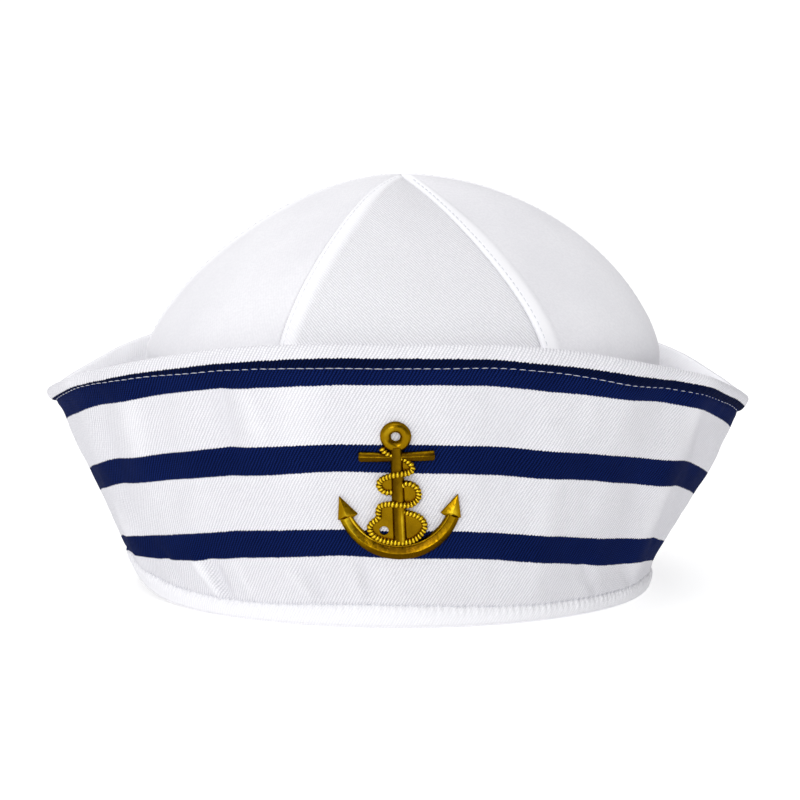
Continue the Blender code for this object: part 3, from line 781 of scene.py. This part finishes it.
def make_panel(number):
    """A gore of the crown, with the seam allowance pressed under its edge on the +across side of the seam."""
    skirt = np.linspace(0.0, 0.94, 12)
    dome = 1 + np.linspace(0.0, 1.0, DOME_ROWS)
    at = np.concatenate([skirt, dome])[:, None]
    spread = np.linspace(0.0, 1.0, PANEL_COLUMNS + 1)
    across = (spread - 0.085 * np.sin(2 * np.pi * spread))[None, :]
    base = crown_place(number, across, at)
    step = 0.004
    side = unit(crown_place(number, across + step, at) - crown_place(number, across - step, at))
    upward = unit(np.gradient(base, axis=0))
    outward = unit(np.cross(side, upward))
    near_edge, far_edge = (crown_place(number, np.array([[end]]), at) for end in (0.0, 1.0))
    # An arc of a sixth of a turn is 1.047 times its chord
    width = 1.047 * np.linalg.norm(far_edge - near_edge, axis=2)
    left, right = across * width, (1 - across) * width
    edge = np.minimum(left, right)
    along = run_along(base[:, PANEL_COLUMNS // 2])[:, None]
    along = along - along[-1]

    groove = -SEAM_GROOVE * bell(edge, SEAM_WIDTH)
    allowance = ALLOWANCE_WIDTH * (0.5 + 0.5 * smooth_step(0.0, 0.05, -along))
    allowance = np.minimum(allowance, 0.75 * width)
    pressed = smooth_step(0.0, 0.0012, left) * (1 - smooth_step(allowance - 0.0012, allowance + 0.0006, left))
    bright = smooth_step(0.0, 0.0008, left) * (1 - smooth_step(0.55 * allowance, 1.08 * allowance, left))
    stitched = bell(left - SEAM_STITCH_AWAY, 0.0006)
    dents = CLOTH_DENT * (soft_noise(base, 0.035, 2) + 0.35 * soft_noise(base, 0.011, 3))
    dents *= smooth_step(0.0, 0.008, edge)
    tip = smooth_step(0.0, 0.004, width)
    relief = tip * (groove + ALLOWANCE_RISE * pressed - 0.0002 * stitched + dents)
    inside = -CROWN_WALL + dents * tip - 0.4 * ALLOWANCE_RISE * pressed
    outer = base + outward * relief[..., None]
    inner = base + outward * inside[..., None]
    grid = np.concatenate([outer, inner[:, ::-1]], axis=1)

    uv = np.stack(np.broadcast_arrays((across - 0.5) * width, along), axis=-1)
    uv = np.concatenate([uv, uv[:, ::-1], uv[:, :1]], axis=1)
    layered = np.concatenate([bright, 0 * bright], axis=1)
    return grid_mesh(f"crown_cloth_{number}", grid, uv, {"layers": layered})


def threads(name, starts, middles, ends, outward):
    """Sewn stitches: each is a short thread from its start over its middle to its end, sunk at both ends."""
    shares = np.linspace(0.0, 1.0, 7)[None, :, None]
    line = (
        (1 - shares) * (1 - 2 * shares) * starts[:, None]
        + 4 * shares * (1 - shares) * middles[:, None]
        + shares * (2 * shares - 1) * ends[:, None]
    )
    rise = THREAD_RADIUS * (1.1 * np.sin(np.pi * shares) ** 0.32 - 0.65)
    line = line + outward[:, None] * rise
    ahead = unit(np.gradient(line, axis=1))
    over = unit(outward[:, None] - ahead * (ahead * outward[:, None]).sum(-1, keepdims=True))
    beside = np.cross(ahead, over)
    thin = THREAD_RADIUS * (0.35 + 0.65 * np.sin(np.pi * np.linspace(0.06, 0.94, 7)) ** 0.4)[None, :, None]
    angles = np.linspace(0, 2 * np.pi, 6, endpoint=False)
    rings = [line + thin * (math.cos(a) * beside + math.sin(a) * over) for a in angles]
    points = np.stack(rings, axis=2)
    stitches, steps, corners = points.shape[:3]
    faces = []
    for first in range(0, stitches * steps * corners, steps * corners):
        faces += [face[:1] + face[:0:-1] for face in tube_faces(steps, corners, first)]
    mesh = bpy.data.meshes.new(name)
    mesh.from_pydata(points.reshape(-1, 3).tolist(), [], faces)
    middle = np.sin(np.pi * np.linspace(0.0, 1.0, steps))[None, :, None] * np.ones(points.shape[:3])
    give_values(mesh, "middle", middle)
    mesh.shade_smooth()
    return linked(name, mesh)


def wall_stitches(name, pitch, from_rim_of, sunk=()):
    """A row of stitches round the brim. from_rim_of gives the row's distance below the rim at an azimuth.

    sunk has (azimuth, spread, share) for places where the thread is drawn into the cloth.
    """
    count = int(cloth_width(360.0) / pitch)
    middles = np.linspace(-180.0, 180.0, count, endpoint=False)
    half = 180.0 / count * 0.97
    places = []
    for azimuth in (middles - half, middles, middles + half):
        point, outward, puff, rough = brim_face(azimuth, from_rim_of(azimuth)[:, None])
        drawn = sum(share * bell(turned(azimuth - at), spread) for at, spread, share in sunk)
        lift = (puff + rough)[:, 0] - THREAD_RADIUS * drawn
        places.append((point[:, 0] + outward[:, 0] * lift[:, None], outward[:, 0]))
    wobble = 0.00008 * np.sin(middles * 7.3)[:, None] * np.array([0.0, 0.0, 1.0])
    return threads(name, places[0][0] + wobble, places[1][0], places[2][0] - wobble, places[1][1])


def seam_stitches(number):
    """The topstitching beside the seam at the low side of a panel."""
    at = 1 + np.linspace(-0.35, 0.975, 420)
    edge = crown_place(number, np.zeros(1), at[:, None])[:, 0]
    far = crown_place(number, np.ones(1), at[:, None])[:, 0]
    width = np.linalg.norm(far - edge, axis=1)
    across = np.minimum(SEAM_STITCH_AWAY / width, 0.5)
    line = np.array([crown_place(number, np.array([a]), np.array([t]))[0] for a, t in zip(across, at)])
    side = unit(far - edge)
    outward = unit(np.cross(side, np.gradient(line, axis=0)))
    line = line + outward * (ALLOWANCE_RISE * 0.5)
    length = run_along(line)
    count = int(length[-1] / SEAM_PITCH)
    middles = (np.arange(count) + 0.5) * SEAM_PITCH

    def read(values, places):
        return np.stack([np.interp(places, length, values[:, k]) for k in range(3)], axis=1)

    half = SEAM_PITCH * 0.36
    parts = [read(line, middles + shift) for shift in (-half, 0.0, half)]
    return threads(f"seam_thread_{number}", *parts, unit(read(outward, middles)))


# The badge, first flat: +X across, +Y up, +Z away from the brim


def loft(name, sections, closed=False):
    """A solid through sections of the same number of points."""
    points = [tuple(point) for section in sections for point in section]
    return solid(name, points, tube_faces(len(sections), len(sections[0]), closed=closed))


def swept(name, stations, profile, place, closed=False):
    """A solid through a profile's points at each station, and its tones.

    place gives x, y, z and the tone from a station and a row of the profile.
    """
    sections = [[place(station, *row) for row in profile] for station in stations]
    tones = [tone for section in sections for _, _, _, tone in section]
    return loft(name, [[point[:3] for point in section] for section in sections], closed), tones


def solid(name, points, faces, bevel=0.0):
    mesh = bpy.data.meshes.new(name)
    mesh.from_pydata(points, [], faces)
    shell = bmesh.new()
    shell.from_mesh(mesh)
    bmesh.ops.recalc_face_normals(shell, faces=shell.faces)
    if bevel:
        shape = {"segments": 2, "profile": 0.6, "affect": "EDGES", "clamp_overlap": True}
        bmesh.ops.bevel(shell, geom=shell.edges[:], offset=bevel, **shape)
    bmesh.ops.triangulate(shell, faces=shell.faces)
    shell.to_mesh(mesh)
    shell.free()
    return linked(name, mesh)


def prism(name, outline, low, high):
    return loft(name, [[(x, y, z) for x, y in outline] for z in (low, high)])


def badge_ring():
    radius = (RING_RADIUS + RING_HOLE_RADIUS) / 2
    half = (RING_RADIUS - RING_HOLE_RADIUS) / 2

    def place(angle, turn):
        reach = radius + half * math.cos(turn)
        lift = RING_THICK * max(math.sin(turn), -0.3) * (1 + 0.05 * math.cos(3 * angle))
        # Tone: painted light on the ring's upper left, fading to painted shade where it sinks towards the
        # cloth
        to_light = max(0.4 * math.sin(angle) - math.cos(angle), 0.0)
        tone = (0.5 + 0.27 * to_light) * max(lift / RING_THICK, 0.0)
        return reach * math.cos(angle), BADGE_HEIGHT * RING_UP + reach * math.sin(angle), lift, tone

    turns = [(turn,) for turn in np.linspace(-0.25, 1.25, 13) * math.pi]
    return swept("ring", np.linspace(0.0, 2 * math.pi, 64, endpoint=False), turns, place, closed=True)


def badge_stock():
    """The cross bar, with a rounded crest and a painted highlight along its upper edge."""

    def place(share, sideways, lift, tone):
        end = {1.0: 0.82, 0.985: 0.94}.get(abs(share), 1.0)
        half = STOCK_WIDTH / 2 * (1 + 0.12 * abs(share)) * end
        thick = STOCK_THICK * (0.92 + 0.08 * abs(share)) * end
        y = BADGE_HEIGHT * STOCK_UP - 0.1 * STOCK_WIDTH * (1 - share * share) + half * sideways
        return STOCK_LENGTH / 2 * share, y, thick * lift, tone

    shares = (-1.0, -0.985, -0.95, -0.8, -0.5, -0.2, 0.0, 0.2, 0.5, 0.8, 0.95, 0.985, 1.0)
    return swept("stock", shares, STOCK_ROWS, place)


def badge_shank():
    """The shank, a bar with a round crest, with a painted highlight right of its crest that is brightest
    along its lower half.
    """

    def place(share, sideways, lift, tone, shine):
        half = SHANK_WIDTH / 2 * (1.08 - 0.16 * share)
        up = SHANK_FOOT_UP + (SHANK_TOP_UP - SHANK_FOOT_UP) * share
        tone += shine * (0.95 - 0.85 * float(smooth_step(0.25, 0.6, share)))
        return half * sideways, BADGE_HEIGHT * up, SHANK_THICK * lift, tone

    return swept("shank", np.linspace(0.0, 1.0, 24), SHANK_ROWS, place)


def badge_arms():
    """The crescent, on an arc between the arrowheads, with a ridge along its middle and a raised edge."""
    reach = math.asin(ARM_REACH * BADGE_WIDTH / 2 / ARM_RADIUS)

    def place(share, across, lift, tone):
        radius = ARM_RADIUS - ARM_WIDTH * (1 - 0.22 * share * share) * across
        x, y = radius * math.sin(reach * share), ARM_RADIUS - radius * math.cos(reach * share)
        # Painted light on the left arm and painted shade towards the bottom of the crescent
        painted_light_and_shade = 0.60 * max(-share, 0.0) - 0.05 * max(share, 0.0) - 0.65 * (1 - share * share) ** 2
        return x, y, ARM_THICK * lift, tone + painted_light_and_shade

    return swept("arms", np.linspace(-1.0, 1.0, 97), ARM_ROWS, place)


def badge_fluke(side):
    """An arrowhead with a ridge from its tip to the middle of its base."""
    across, up = side * BADGE_WIDTH / 2, BADGE_HEIGHT
    tip, outer, inner = (Vector((x * across, y * up)) for x, y in (FLUKE_TIP, FLUKE_OUTER, FLUKE_INNER))
    base = outer.lerp(inner, 0.5)
    base += (base - tip) * 0.16
    low, edge, crest = -0.4 * FLUKE_THICK, 0.35 * FLUKE_THICK, FLUKE_THICK
    corners = (tip, outer, base, inner)
    points = [(*corner, low) for corner in corners] + [(*corner, edge) for corner in corners]
    points.append((*tip.lerp(base, 0.72), crest))
    faces = [(3, 2, 1, 0)] + [(i, (i + 1) % 4, 4 + (i + 1) % 4, 4 + i) for i in range(4)]
    faces += [(4 + i, 4 + (i + 1) % 4, 8) for i in range(4)]
    fluke = solid("fluke", points, faces, bevel=0.00018)
    # Tone: painted light up on the ridge, and painted shade towards the foot
    return fluke, [0.15 + 0.8 * max(vertex.co.z / FLUKE_THICK, 0.0) for vertex in fluke.data.vertices]


def rope_line(steps):
    """The rope's middle line as smooth points, with the rows of the table at every steps-th point."""
    shares = np.array(ROPE_ROWS)
    rows = shares * np.array([BADGE_WIDTH / 2, BADGE_HEIGHT, SHANK_THICK])
    before = np.concatenate([rows[:1], rows[:-2]])[:, None]
    here, there = rows[:-1, None], rows[1:, None]
    after = np.concatenate([rows[2:], rows[-1:]])[:, None]
    t = (np.arange(steps) / steps)[None, :, None]
    line = 0.5 * (
        2 * here
        + (there - before) * t
        + (2 * before - 5 * here + 4 * there - after) * t**2
        + (3 * here - 3 * there + after - before) * t**3
    )
    return np.concatenate([line.reshape(-1, 3), rows[-1:]])


def badge_rope():
    """The rope, with grooves across it where its strands meet."""
    line = rope_line(ROPE_STEPS)
    ahead = unit(np.gradient(line, axis=0))
    side = unit(np.cross(ahead, np.array([0.0, 0.0, 1.0])))
    over = np.cross(side, ahead)
    angles = np.linspace(0, 2 * np.pi, 14, endpoint=False)[None, :]
    phase = 2 * np.pi * run_along(line)[:, None] / ROPE_PITCH + 0.9 * np.cos(angles)
    groove = (0.5 + 0.5 * np.cos(phase)) ** 2
    radius = ROPE_RADIUS * (1.06 - 0.24 * groove)[..., None]
    ring = np.cos(angles)[..., None] * side[:, None] + np.sin(angles)[..., None] * over[:, None]
    # Tone: painted highlight on the strands, darker in the grooves between them, and painted shade on the
    # rope's underside
    tones = 1.10 - 1.05 * groove - 0.25 * (1 - np.sin(angles))
    return loft("rope", line[:, None] + radius * ring), tones.ravel()


def badge_webs():
    """Thin plates that fill the rope's loops back to the shank, with the through hole."""
    line = rope_line(4)
    angles = np.linspace(0, 2 * np.pi, 28, endpoint=False)
    middle = np.array(WEB_HOLE) * (BADGE_WIDTH / 2, BADGE_HEIGHT)
    hole = middle + WEB_HOLE_RADIUS * np.stack([np.cos(angles), np.sin(angles)], axis=1)
    webs = []
    for number, (first, last) in enumerate(WEB_ROWS):
        low, high = -WEB_THICK * (0.45 + 0.05 * number), WEB_THICK * (1 + 0.02 * number)
        web = prism("web", line[first * 4 : last * 4 + 1, :2], low, high)
        web = cut(web, prism("cutter", hole, -SHANK_THICK, SHANK_THICK))
        webs.append((web, [WEB_TONE] * len(web.data.vertices)))
    return webs


def cut(base, cutter):
    """The base with the cutter's space taken out, as plain mesh. The cutter is removed."""
    change = base.modifiers.new("change", "BOOLEAN")
    change.operation = "DIFFERENCE"
    change.solver = "EXACT"
    change.object = cutter
    graph = bpy.context.evaluated_depsgraph_get()
    mesh = bpy.data.meshes.new_from_object(base.evaluated_get(graph))
    base.modifiers.clear()
    base.data = mesh
    bpy.data.objects.remove(cutter)
    return base


def badge_place(across, up):
    """Azimuth and height on the brim of points of the flat badge."""
    turn = math.radians(BADGE_TILT)
    middle_up = BADGE_HEIGHT / 2
    x = BADGE_ASIDE + across * math.cos(turn) - (up - middle_up) * math.sin(turn)
    y = across * math.sin(turn) + (up - middle_up) * math.cos(turn) + middle_up
    x = x - BADGE_SLANT * (y - middle_up)
    lean = math.atan2(wall_line(0.0, RIM_HEIGHT) - wall_line(0.0, 0.0), RIM_HEIGHT)
    height = RIM_HEIGHT - (BADGE_DROP + BADGE_HEIGHT - y) * math.cos(lean)
    return np.degrees(x / wall_line(0.0, height)), height


def make_badge():
    parts = [badge_shank(), badge_ring(), badge_stock(), badge_arms(), badge_fluke(-1), badge_fluke(1)]
    parts += badge_webs() + [badge_rope()]
    tones = np.concatenate([tone for _, tone in parts])
    badge = joined("badge_relief", [part for part, _ in parts])
    mesh = badge.data
    flat = np.zeros(len(mesh.vertices) * 3, np.float32)
    mesh.vertices.foreach_get("co", flat)
    flat = flat.reshape(-1, 3).astype(float)
    point, _, _, outward = wall_frame(*badge_place(flat[:, 0], flat[:, 1]))
    lift = BADGE_GAP + np.maximum(flat[:, 2], 0.0)
    mesh.vertices.foreach_set("co", (point + outward * lift[:, None]).astype(np.float32).ravel())
    # tone: painted light and shade at each vertex, given by the parts
    give_values(mesh, "tone", tones)
    mesh.update()
    mesh.shade_smooth()
    mesh.set_sharp_from_angle(angle=math.radians(38))
    return badge


# Materials


class Graph:
    """Short calls for the nodes of a material or of the world. shader is the node that gives its look."""

    def __init__(self, owner, shader="Principled BSDF"):
        owner.use_nodes = True
        self.owner = owner
        self.tree = owner.node_tree
        self.shader = self.tree.nodes[shader]

    def feed(self, socket, value):
        if isinstance(value, bpy.types.NodeSocket):
            self.tree.links.new(value, socket)
        else:
            socket.default_value = value

    def node(self, kind, **inputs):
        made = self.tree.nodes.new("ShaderNode" + kind)
        for label, value in inputs.items():
            self.feed(made.inputs[label.replace("_", " ")], value)
        return made

    def look(self, **inputs):
        """Feeds the shader and gives back the finished material or world."""
        for label, value in inputs.items():
            self.feed(self.shader.inputs[label.replace("_", " ")], value)
        return self.owner

    def math(self, operation, *values):
        made = self.node("Math")
        made.operation = operation
        for socket, value in zip(made.inputs, values):
            self.feed(socket, value)
        return made.outputs[0]

    def times(self, first, second):
        return self.math("MULTIPLY", first, second)

    def line(self, value, slope, start):
        """start plus slope times the value."""
        return self.math("MULTIPLY_ADD", value, slope, start)

    def wave(self, phase):
        """From 0 up to 1 and back, once for each whole number of the phase."""
        return self.math("ABSOLUTE", self.math("SINE", self.times(phase, math.pi)))

    def span(self, value, low, high, to_low=0.0, to_high=1.0, smooth=True):
        made = self.node("MapRange", Value=value, From_Min=low, From_Max=high, To_Min=to_low, To_Max=to_high)
        made.interpolation_type = "SMOOTHSTEP" if smooth else "LINEAR"
        return made.outputs["Result"]

    def mix(self, share, first, second):
        made = self.node("Mix")
        made.data_type = "RGBA"
        for place, value in ((0, share), (6, first), (7, second)):
            self.feed(made.inputs[place], value)
        return made.outputs[2]

    def noise(self, spacing, detail=2.0):
        where = self.node("TexCoord").outputs["Object"]
        return self.node("TexNoise", Vector=where, Scale=1.0 / spacing, Detail=detail).outputs[0]

    def attribute(self, label):
        made = self.node("Attribute")
        made.attribute_name = label
        return made.outputs["Fac"]

    def bump(self, height, distance, strength, normal=None):
        inputs = {} if normal is None else {"Normal": normal}
        return self.node("Bump", Height=height, Distance=distance, Strength=strength, **inputs).outputs[0]


WHITE = (0.80, 0.795, 0.825, 1.0)
BRIGHT = (0.925, 0.922, 0.95, 1.0)
SHADE = (0.64, 0.635, 0.675, 1.0)
NAVY = (0.0002, 0.0008, 0.008, 1.0)
NAVY_RIB_HIGHLIGHT = (0.0068, 0.0200, 0.128, 1.0)
NAVY_DARK = (0.0005, 0.0014, 0.007, 1.0)
RIB_SHADE = (0.42, 0.415, 0.46, 1.0)
THREAD_DULL = (0.46, 0.47, 0.52, 1.0)
THREAD_CLEAR = (0.70, 0.71, 0.77, 1.0)
THREAD_END_SHADE = (0.34, 0.35, 0.40, 1.0)
BRASS_DARK = (0.085, 0.041, 0.0010, 1.0)
BRASS_MIDDLE = (0.27, 0.148, 0.0018, 1.0)
BRASS_BRIGHT = (0.76, 0.52, 0.020, 1.0)
BRASS_EDGE = (1.0, 0.72, 0.22, 1.0)
STEEL_DARK = (0.42, 0.42, 0.43, 1.0)
STEEL_BRIGHT = (0.62, 0.62, 0.62, 1.0)
PAPER = (0.60, 0.60, 0.60, 1.0)
LIGHT = (1.0, 1.0, 1.0, 1.0)


def twill(graph, rib_angle, pitch):
    """Ribs of a twill over the cloth's own coordinates: height from 0 to 1, the phase across them, and v."""
    uv = graph.node("UVMap")
    uv.uv_map = "cloth"
    split = graph.node("SeparateXYZ", Vector=uv.outputs[0])
    u, v = split.outputs[0], split.outputs[1]
    turn = math.radians(rib_angle)
    wobble = graph.line(graph.noise(0.0017, 1.0), 0.55, graph.times(graph.noise(0.009, 1.0), 0.5))
    phase = graph.line(u, math.sin(turn) / pitch, wobble)
    phase = graph.line(v, math.cos(turn) / pitch, phase)
    rib = graph.math("POWER", graph.wave(phase), 0.7)
    along = graph.line(v, -math.sin(turn) / YARN_PITCH, graph.times(u, math.cos(turn) / YARN_PITCH))
    along = graph.line(graph.math("FLOOR", phase), 0.5, along)
    knots = graph.times(rib, graph.wave(along))
    return graph.line(knots, YARN_SHARE, graph.times(rib, 1 - YARN_SHARE)), phase, v


def cloth_surface(name, rib_angle, pitch, rib_strength, rib_bump, lightness, striped=False):
    """A white twill. lightness: share of BRIGHT in it. rib_strength: how much painted shade lies in the
    grooves between its ribs. rib_bump: how far its ribs' bump shows.
    """
    graph = Graph(bpy.data.materials.new(name))
    rib, phase, v = twill(graph, rib_angle, pitch)
    soft = graph.noise(0.03, 3.0)
    colour = graph.mix(graph.span(soft, 0.3, 0.7), SHADE, WHITE)
    colour = graph.mix(0.68, colour, WHITE)
    colour = graph.mix(lightness, colour, BRIGHT)
    colour = graph.mix(graph.span(graph.noise(0.0009), 0.35, 0.65, 0.0, 0.22), colour, SHADE)
    # Painted shade in the grooves between the twill's ribs
    colour = graph.mix(graph.line(rib, -rib_strength, rib_strength), colour, RIB_SHADE)
    if striped:
        colour = striped_colour(graph, colour, rib, phase, v, soft)
    else:
        colour = graph.mix(graph.times(graph.attribute("layers"), 0.8), colour, BRIGHT)
    normal = graph.bump(graph.noise(0.0007), 0.00005, 0.5)
    normal = graph.bump(rib, 0.00014, rib_bump, normal)
    return graph.look(Base_Color=colour, Roughness=0.82, Specular_IOR_Level=0.02, Normal=normal)


def striped_colour(graph, colour, rib, phase, v, soft):
    """The brim's colours: a darker saw-toothed line at the hem's stitching, painted light on the hem below
    it, painted shade in the hollows of the folds and painted light on their ridges, painted light on the
    inner face, and navy stripes with saw-toothed edges.
    """
    serration = graph.math("ABSOLUTE", graph.math("SUBTRACT", graph.math("FRACT", phase), 0.5))
    inward = graph.line(serration, 2.2, graph.attribute("hem"))
    inward = graph.line(graph.noise(0.0016), 1.4, inward)
    line = graph.math("SUBTRACT", graph.span(inward, 0.55, 0.85), graph.span(inward, 1.15, 1.5))
    relief = graph.attribute("relief")
    tints = (
        (graph.times(line, 0.32), RIB_SHADE),
        # Painted shade in the hollows of the folds and creases, and painted light on their ridges
        (graph.span(relief, 0.0, -1.8, 0.0, 0.42), SHADE),
        (graph.span(relief, 0.0, 2.2, 0.0, 0.45), BRIGHT),
        # Painted light on the hem below its stitching
        (graph.span(inward, 1.15, 1.5, 0.0, 0.6), BRIGHT),
        # Painted light on the brim's inner face
        (graph.span(v, 0.0, -0.001, 0.0, 0.9), BRIGHT),
    )
    for share, tint in tints:
        colour = graph.mix(share, colour, tint)
    fuzz = graph.math("SUBTRACT", graph.noise(0.0011), 0.5)
    edge = graph.line(fuzz, 0.0005, graph.line(serration, 0.0007, v))
    stripes = 0.0
    soft_edge = 0.00009
    for top, bottom in STRIPES:
        inside, below = (graph.span(edge, place - soft_edge, place + soft_edge) for place in (top, bottom))
        stripes = graph.math("ADD", stripes, graph.math("SUBTRACT", inside, below))
    # Painted highlights on the crests of the navy's ribs
    crest = graph.times(graph.math("POWER", rib, 1.8), graph.span(soft, 0.35, 0.65, 0.8, 1.0))
    navy = graph.mix(crest, NAVY, NAVY_RIB_HIGHLIGHT)
    navy = graph.mix(graph.times(graph.attribute("band"), 0.62), navy, NAVY_DARK)
    return graph.mix(stripes, colour, navy)


def thread_surface(name, dull, clear, low):
    """A thread between two colours, with painted shade in a third at its sunk ends."""
    graph = Graph(bpy.data.materials.new(name))
    soft = graph.noise(0.0004)
    colour = graph.mix(graph.span(soft, 0.3, 0.7), dull, clear)
    # Painted shade at the thread's sunk ends
    colour = graph.mix(graph.span(graph.attribute("middle"), 0.0, 0.5, 0.6, 0.0), colour, low)
    return graph.look(Base_Color=colour, Roughness=0.6, Normal=graph.bump(soft, 0.00008, 0.6))


def badge_surface():
    """Stamped brass with painted light and shade from its tone, darker where the tone is low, and darker in
    patches of wear.
    """
    graph = Graph(bpy.data.materials.new("stamped_brass"))
    patches, fine = graph.noise(0.006, 3.0), graph.noise(0.0012, 3.0)
    # The tone paints light and shade; the noise patches add wear
    wear_and_painted_light = graph.line(graph.math("SUBTRACT", patches, 0.5), 0.7, graph.attribute("tone"))
    colour = graph.mix(graph.span(wear_and_painted_light, -0.1, 0.55), BRASS_DARK, BRASS_MIDDLE)
    colour = graph.mix(graph.span(wear_and_painted_light, 0.6, 1.15), colour, BRASS_BRIGHT)
    rough = graph.span(fine, 0.3, 0.75, 0.26, 0.44)
    normal = graph.bump(fine, 0.00012, 0.5, graph.bump(patches, 0.0006, 0.6))
    metal = {"Metallic": 1.0, "Specular_Tint": BRASS_EDGE}
    return graph.look(Base_Color=colour, Roughness=rough, Normal=normal, **metal)


def pin_surface():
    graph = Graph(bpy.data.materials.new("pin_steel"))
    fine = graph.noise(0.0008, 3.0)
    colour = graph.mix(graph.span(fine, 0.3, 0.7), STEEL_DARK, STEEL_BRIGHT)
    rough = graph.span(fine, 0.3, 0.7, 0.30, 0.48)
    return graph.look(Base_Color=colour, Metallic=1.0, Roughness=rough, Normal=graph.bump(fine, 0.00004, 0.4))


# Stage


def make_floor():
    """White paper that gives off a little light, so that it reads as the photograph's background."""
    half = 4.0
    mesh = bpy.data.meshes.new("floor")
    corners = [(x * half, y * half, 0) for x, y in ((-1, -1), (1, -1), (1, 1), (-1, 1))]
    mesh.from_pydata(corners, [], [(0, 1, 2, 3)])
    glow = {"Emission_Color": LIGHT, "Emission_Strength": 0.57}
    paper = Graph(bpy.data.materials.new("floor_paper"))
    mesh.materials.append(paper.look(Base_Color=PAPER, Roughness=0.9, Specular_IOR_Level=0.1, **glow))
    floor = linked("floor", mesh)


def make_light(name, place, side, power):
    """A square light that faces the cap."""
    data = bpy.data.lights.new(name, "AREA")
    data.size = side
    data.energy = power
    light = linked(name, data)
    light.location = place
    light.rotation_mode = "QUATERNION"
    aim = Vector((0, 0, 0.08))
    light.rotation_quaternion = (aim - Vector(place)).to_track_quat("-Z", "Y")


def make_world():
    """Soft light from all round: white at the skyline, dimmer on the shaded side and a little at the left."""
    graph = Graph(bpy.data.worlds.new("studio"), "Background")
    where = graph.node("TexCoord").outputs["Generated"]
    toward = graph.node("VectorMath")
    toward.operation = "DOT_PRODUCT"
    toward.inputs[1].default_value = SHADED_SIDE
    graph.feed(toward.inputs[0], where)
    split = graph.node("SeparateXYZ", Vector=where)
    dimmed = graph.span(toward.outputs["Value"], 0.0, 0.95, STUDIO_LIGHT, SHADED_LIGHT)
    left = graph.span(split.outputs["X"], -0.95, -0.15, LEFT_LIGHT, 1.0, smooth=False)
    skyline = graph.span(split.outputs["Z"], 0.03, 0.12, 1.0, 0.0)
    strength = graph.math("MAXIMUM", graph.times(dimmed, left), skyline)
    bpy.context.scene.world = graph.look(Color=LIGHT, Strength=strength)
    bpy.context.scene.view_settings.view_transform = "Standard"


def make_camera():
    """The photograph's view: a little from above, and rolled a little."""
    distance = 1.030
    elevation, roll = math.radians(6.5), math.radians(0.45)
    aim = Vector((0.00072, 0.0, 0.0656))
    view_width = 0.2884
    data = bpy.data.cameras.new("camera")
    data.sensor_width = 36.0
    data.lens = data.sensor_width * distance / view_width
    data.clip_start, data.clip_end = 0.05, 50.0
    camera = linked("camera", data)
    back = Vector((0.0, -math.cos(elevation), math.sin(elevation)))
    camera.location = aim + back * distance
    camera.rotation_mode = "QUATERNION"
    turn = Matrix.Rotation(roll, 3, "Z").to_quaternion()
    camera.rotation_quaternion = (-back).to_track_quat("-Z", "Y") @ turn
    bpy.context.scene.camera = camera


def build():
    brim_look = cloth_surface("brim_twill", RIB_ANGLE, RIB_PITCH, 0.80, 0.8, 0.45, striped=True)
    crown_look = cloth_surface("crown_twill", CROWN_RIB_ANGLE, CROWN_RIB_PITCH, 0.70, 0.8, 0.75)
    side_look = cloth_surface("crown_twill_sides", CROWN_RIB_ANGLE, CROWN_RIB_PITCH, 0.08, 0.2, 0.1)
    thread = thread_surface("thread_white", THREAD_DULL, THREAD_CLEAR, THREAD_DULL)
    seam_thread = thread_surface("thread_seam", THREAD_DULL, THREAD_CLEAR, THREAD_END_SHADE)
    pale_thread = thread_surface("thread_pale", THREAD_CLEAR, WHITE, THREAD_CLEAR)
    brass = badge_surface()

    dressed(make_brim(), brim_look, "brim_cloth", "brim")
    for number in range(1, PANEL_COUNT + 1):
        look = crown_look if number in (1, 4) else side_look
        dressed(make_panel(number), look, "crown_cloth", f"crown_panel_{number}")
        dressed(seam_stitches(number), pale_thread if number == 1 else seam_thread, "crown_cloth")
    dressed(wall_stitches("rim_thread", RIM_PITCH, rim_seam, RIM_SUNK), thread, "brim_cloth")
    dressed(wall_stitches("hem_thread", HEM_PITCH, hem_seam), thread, "brim_cloth")
    dressed(make_badge(), brass, "badge_metal", "anchor_badge")
    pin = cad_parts["badge_pin"]
    pin.data.materials.clear()
    pin.data.materials.append(pin_surface())

    make_floor()
    make_world()
    make_camera()
    make_light("key", (-0.38, -2.15, 0.80), 0.9, 18.2)
    make_light("top", (0.1, -0.5, 2.1), 1.4, 9.5)


build()
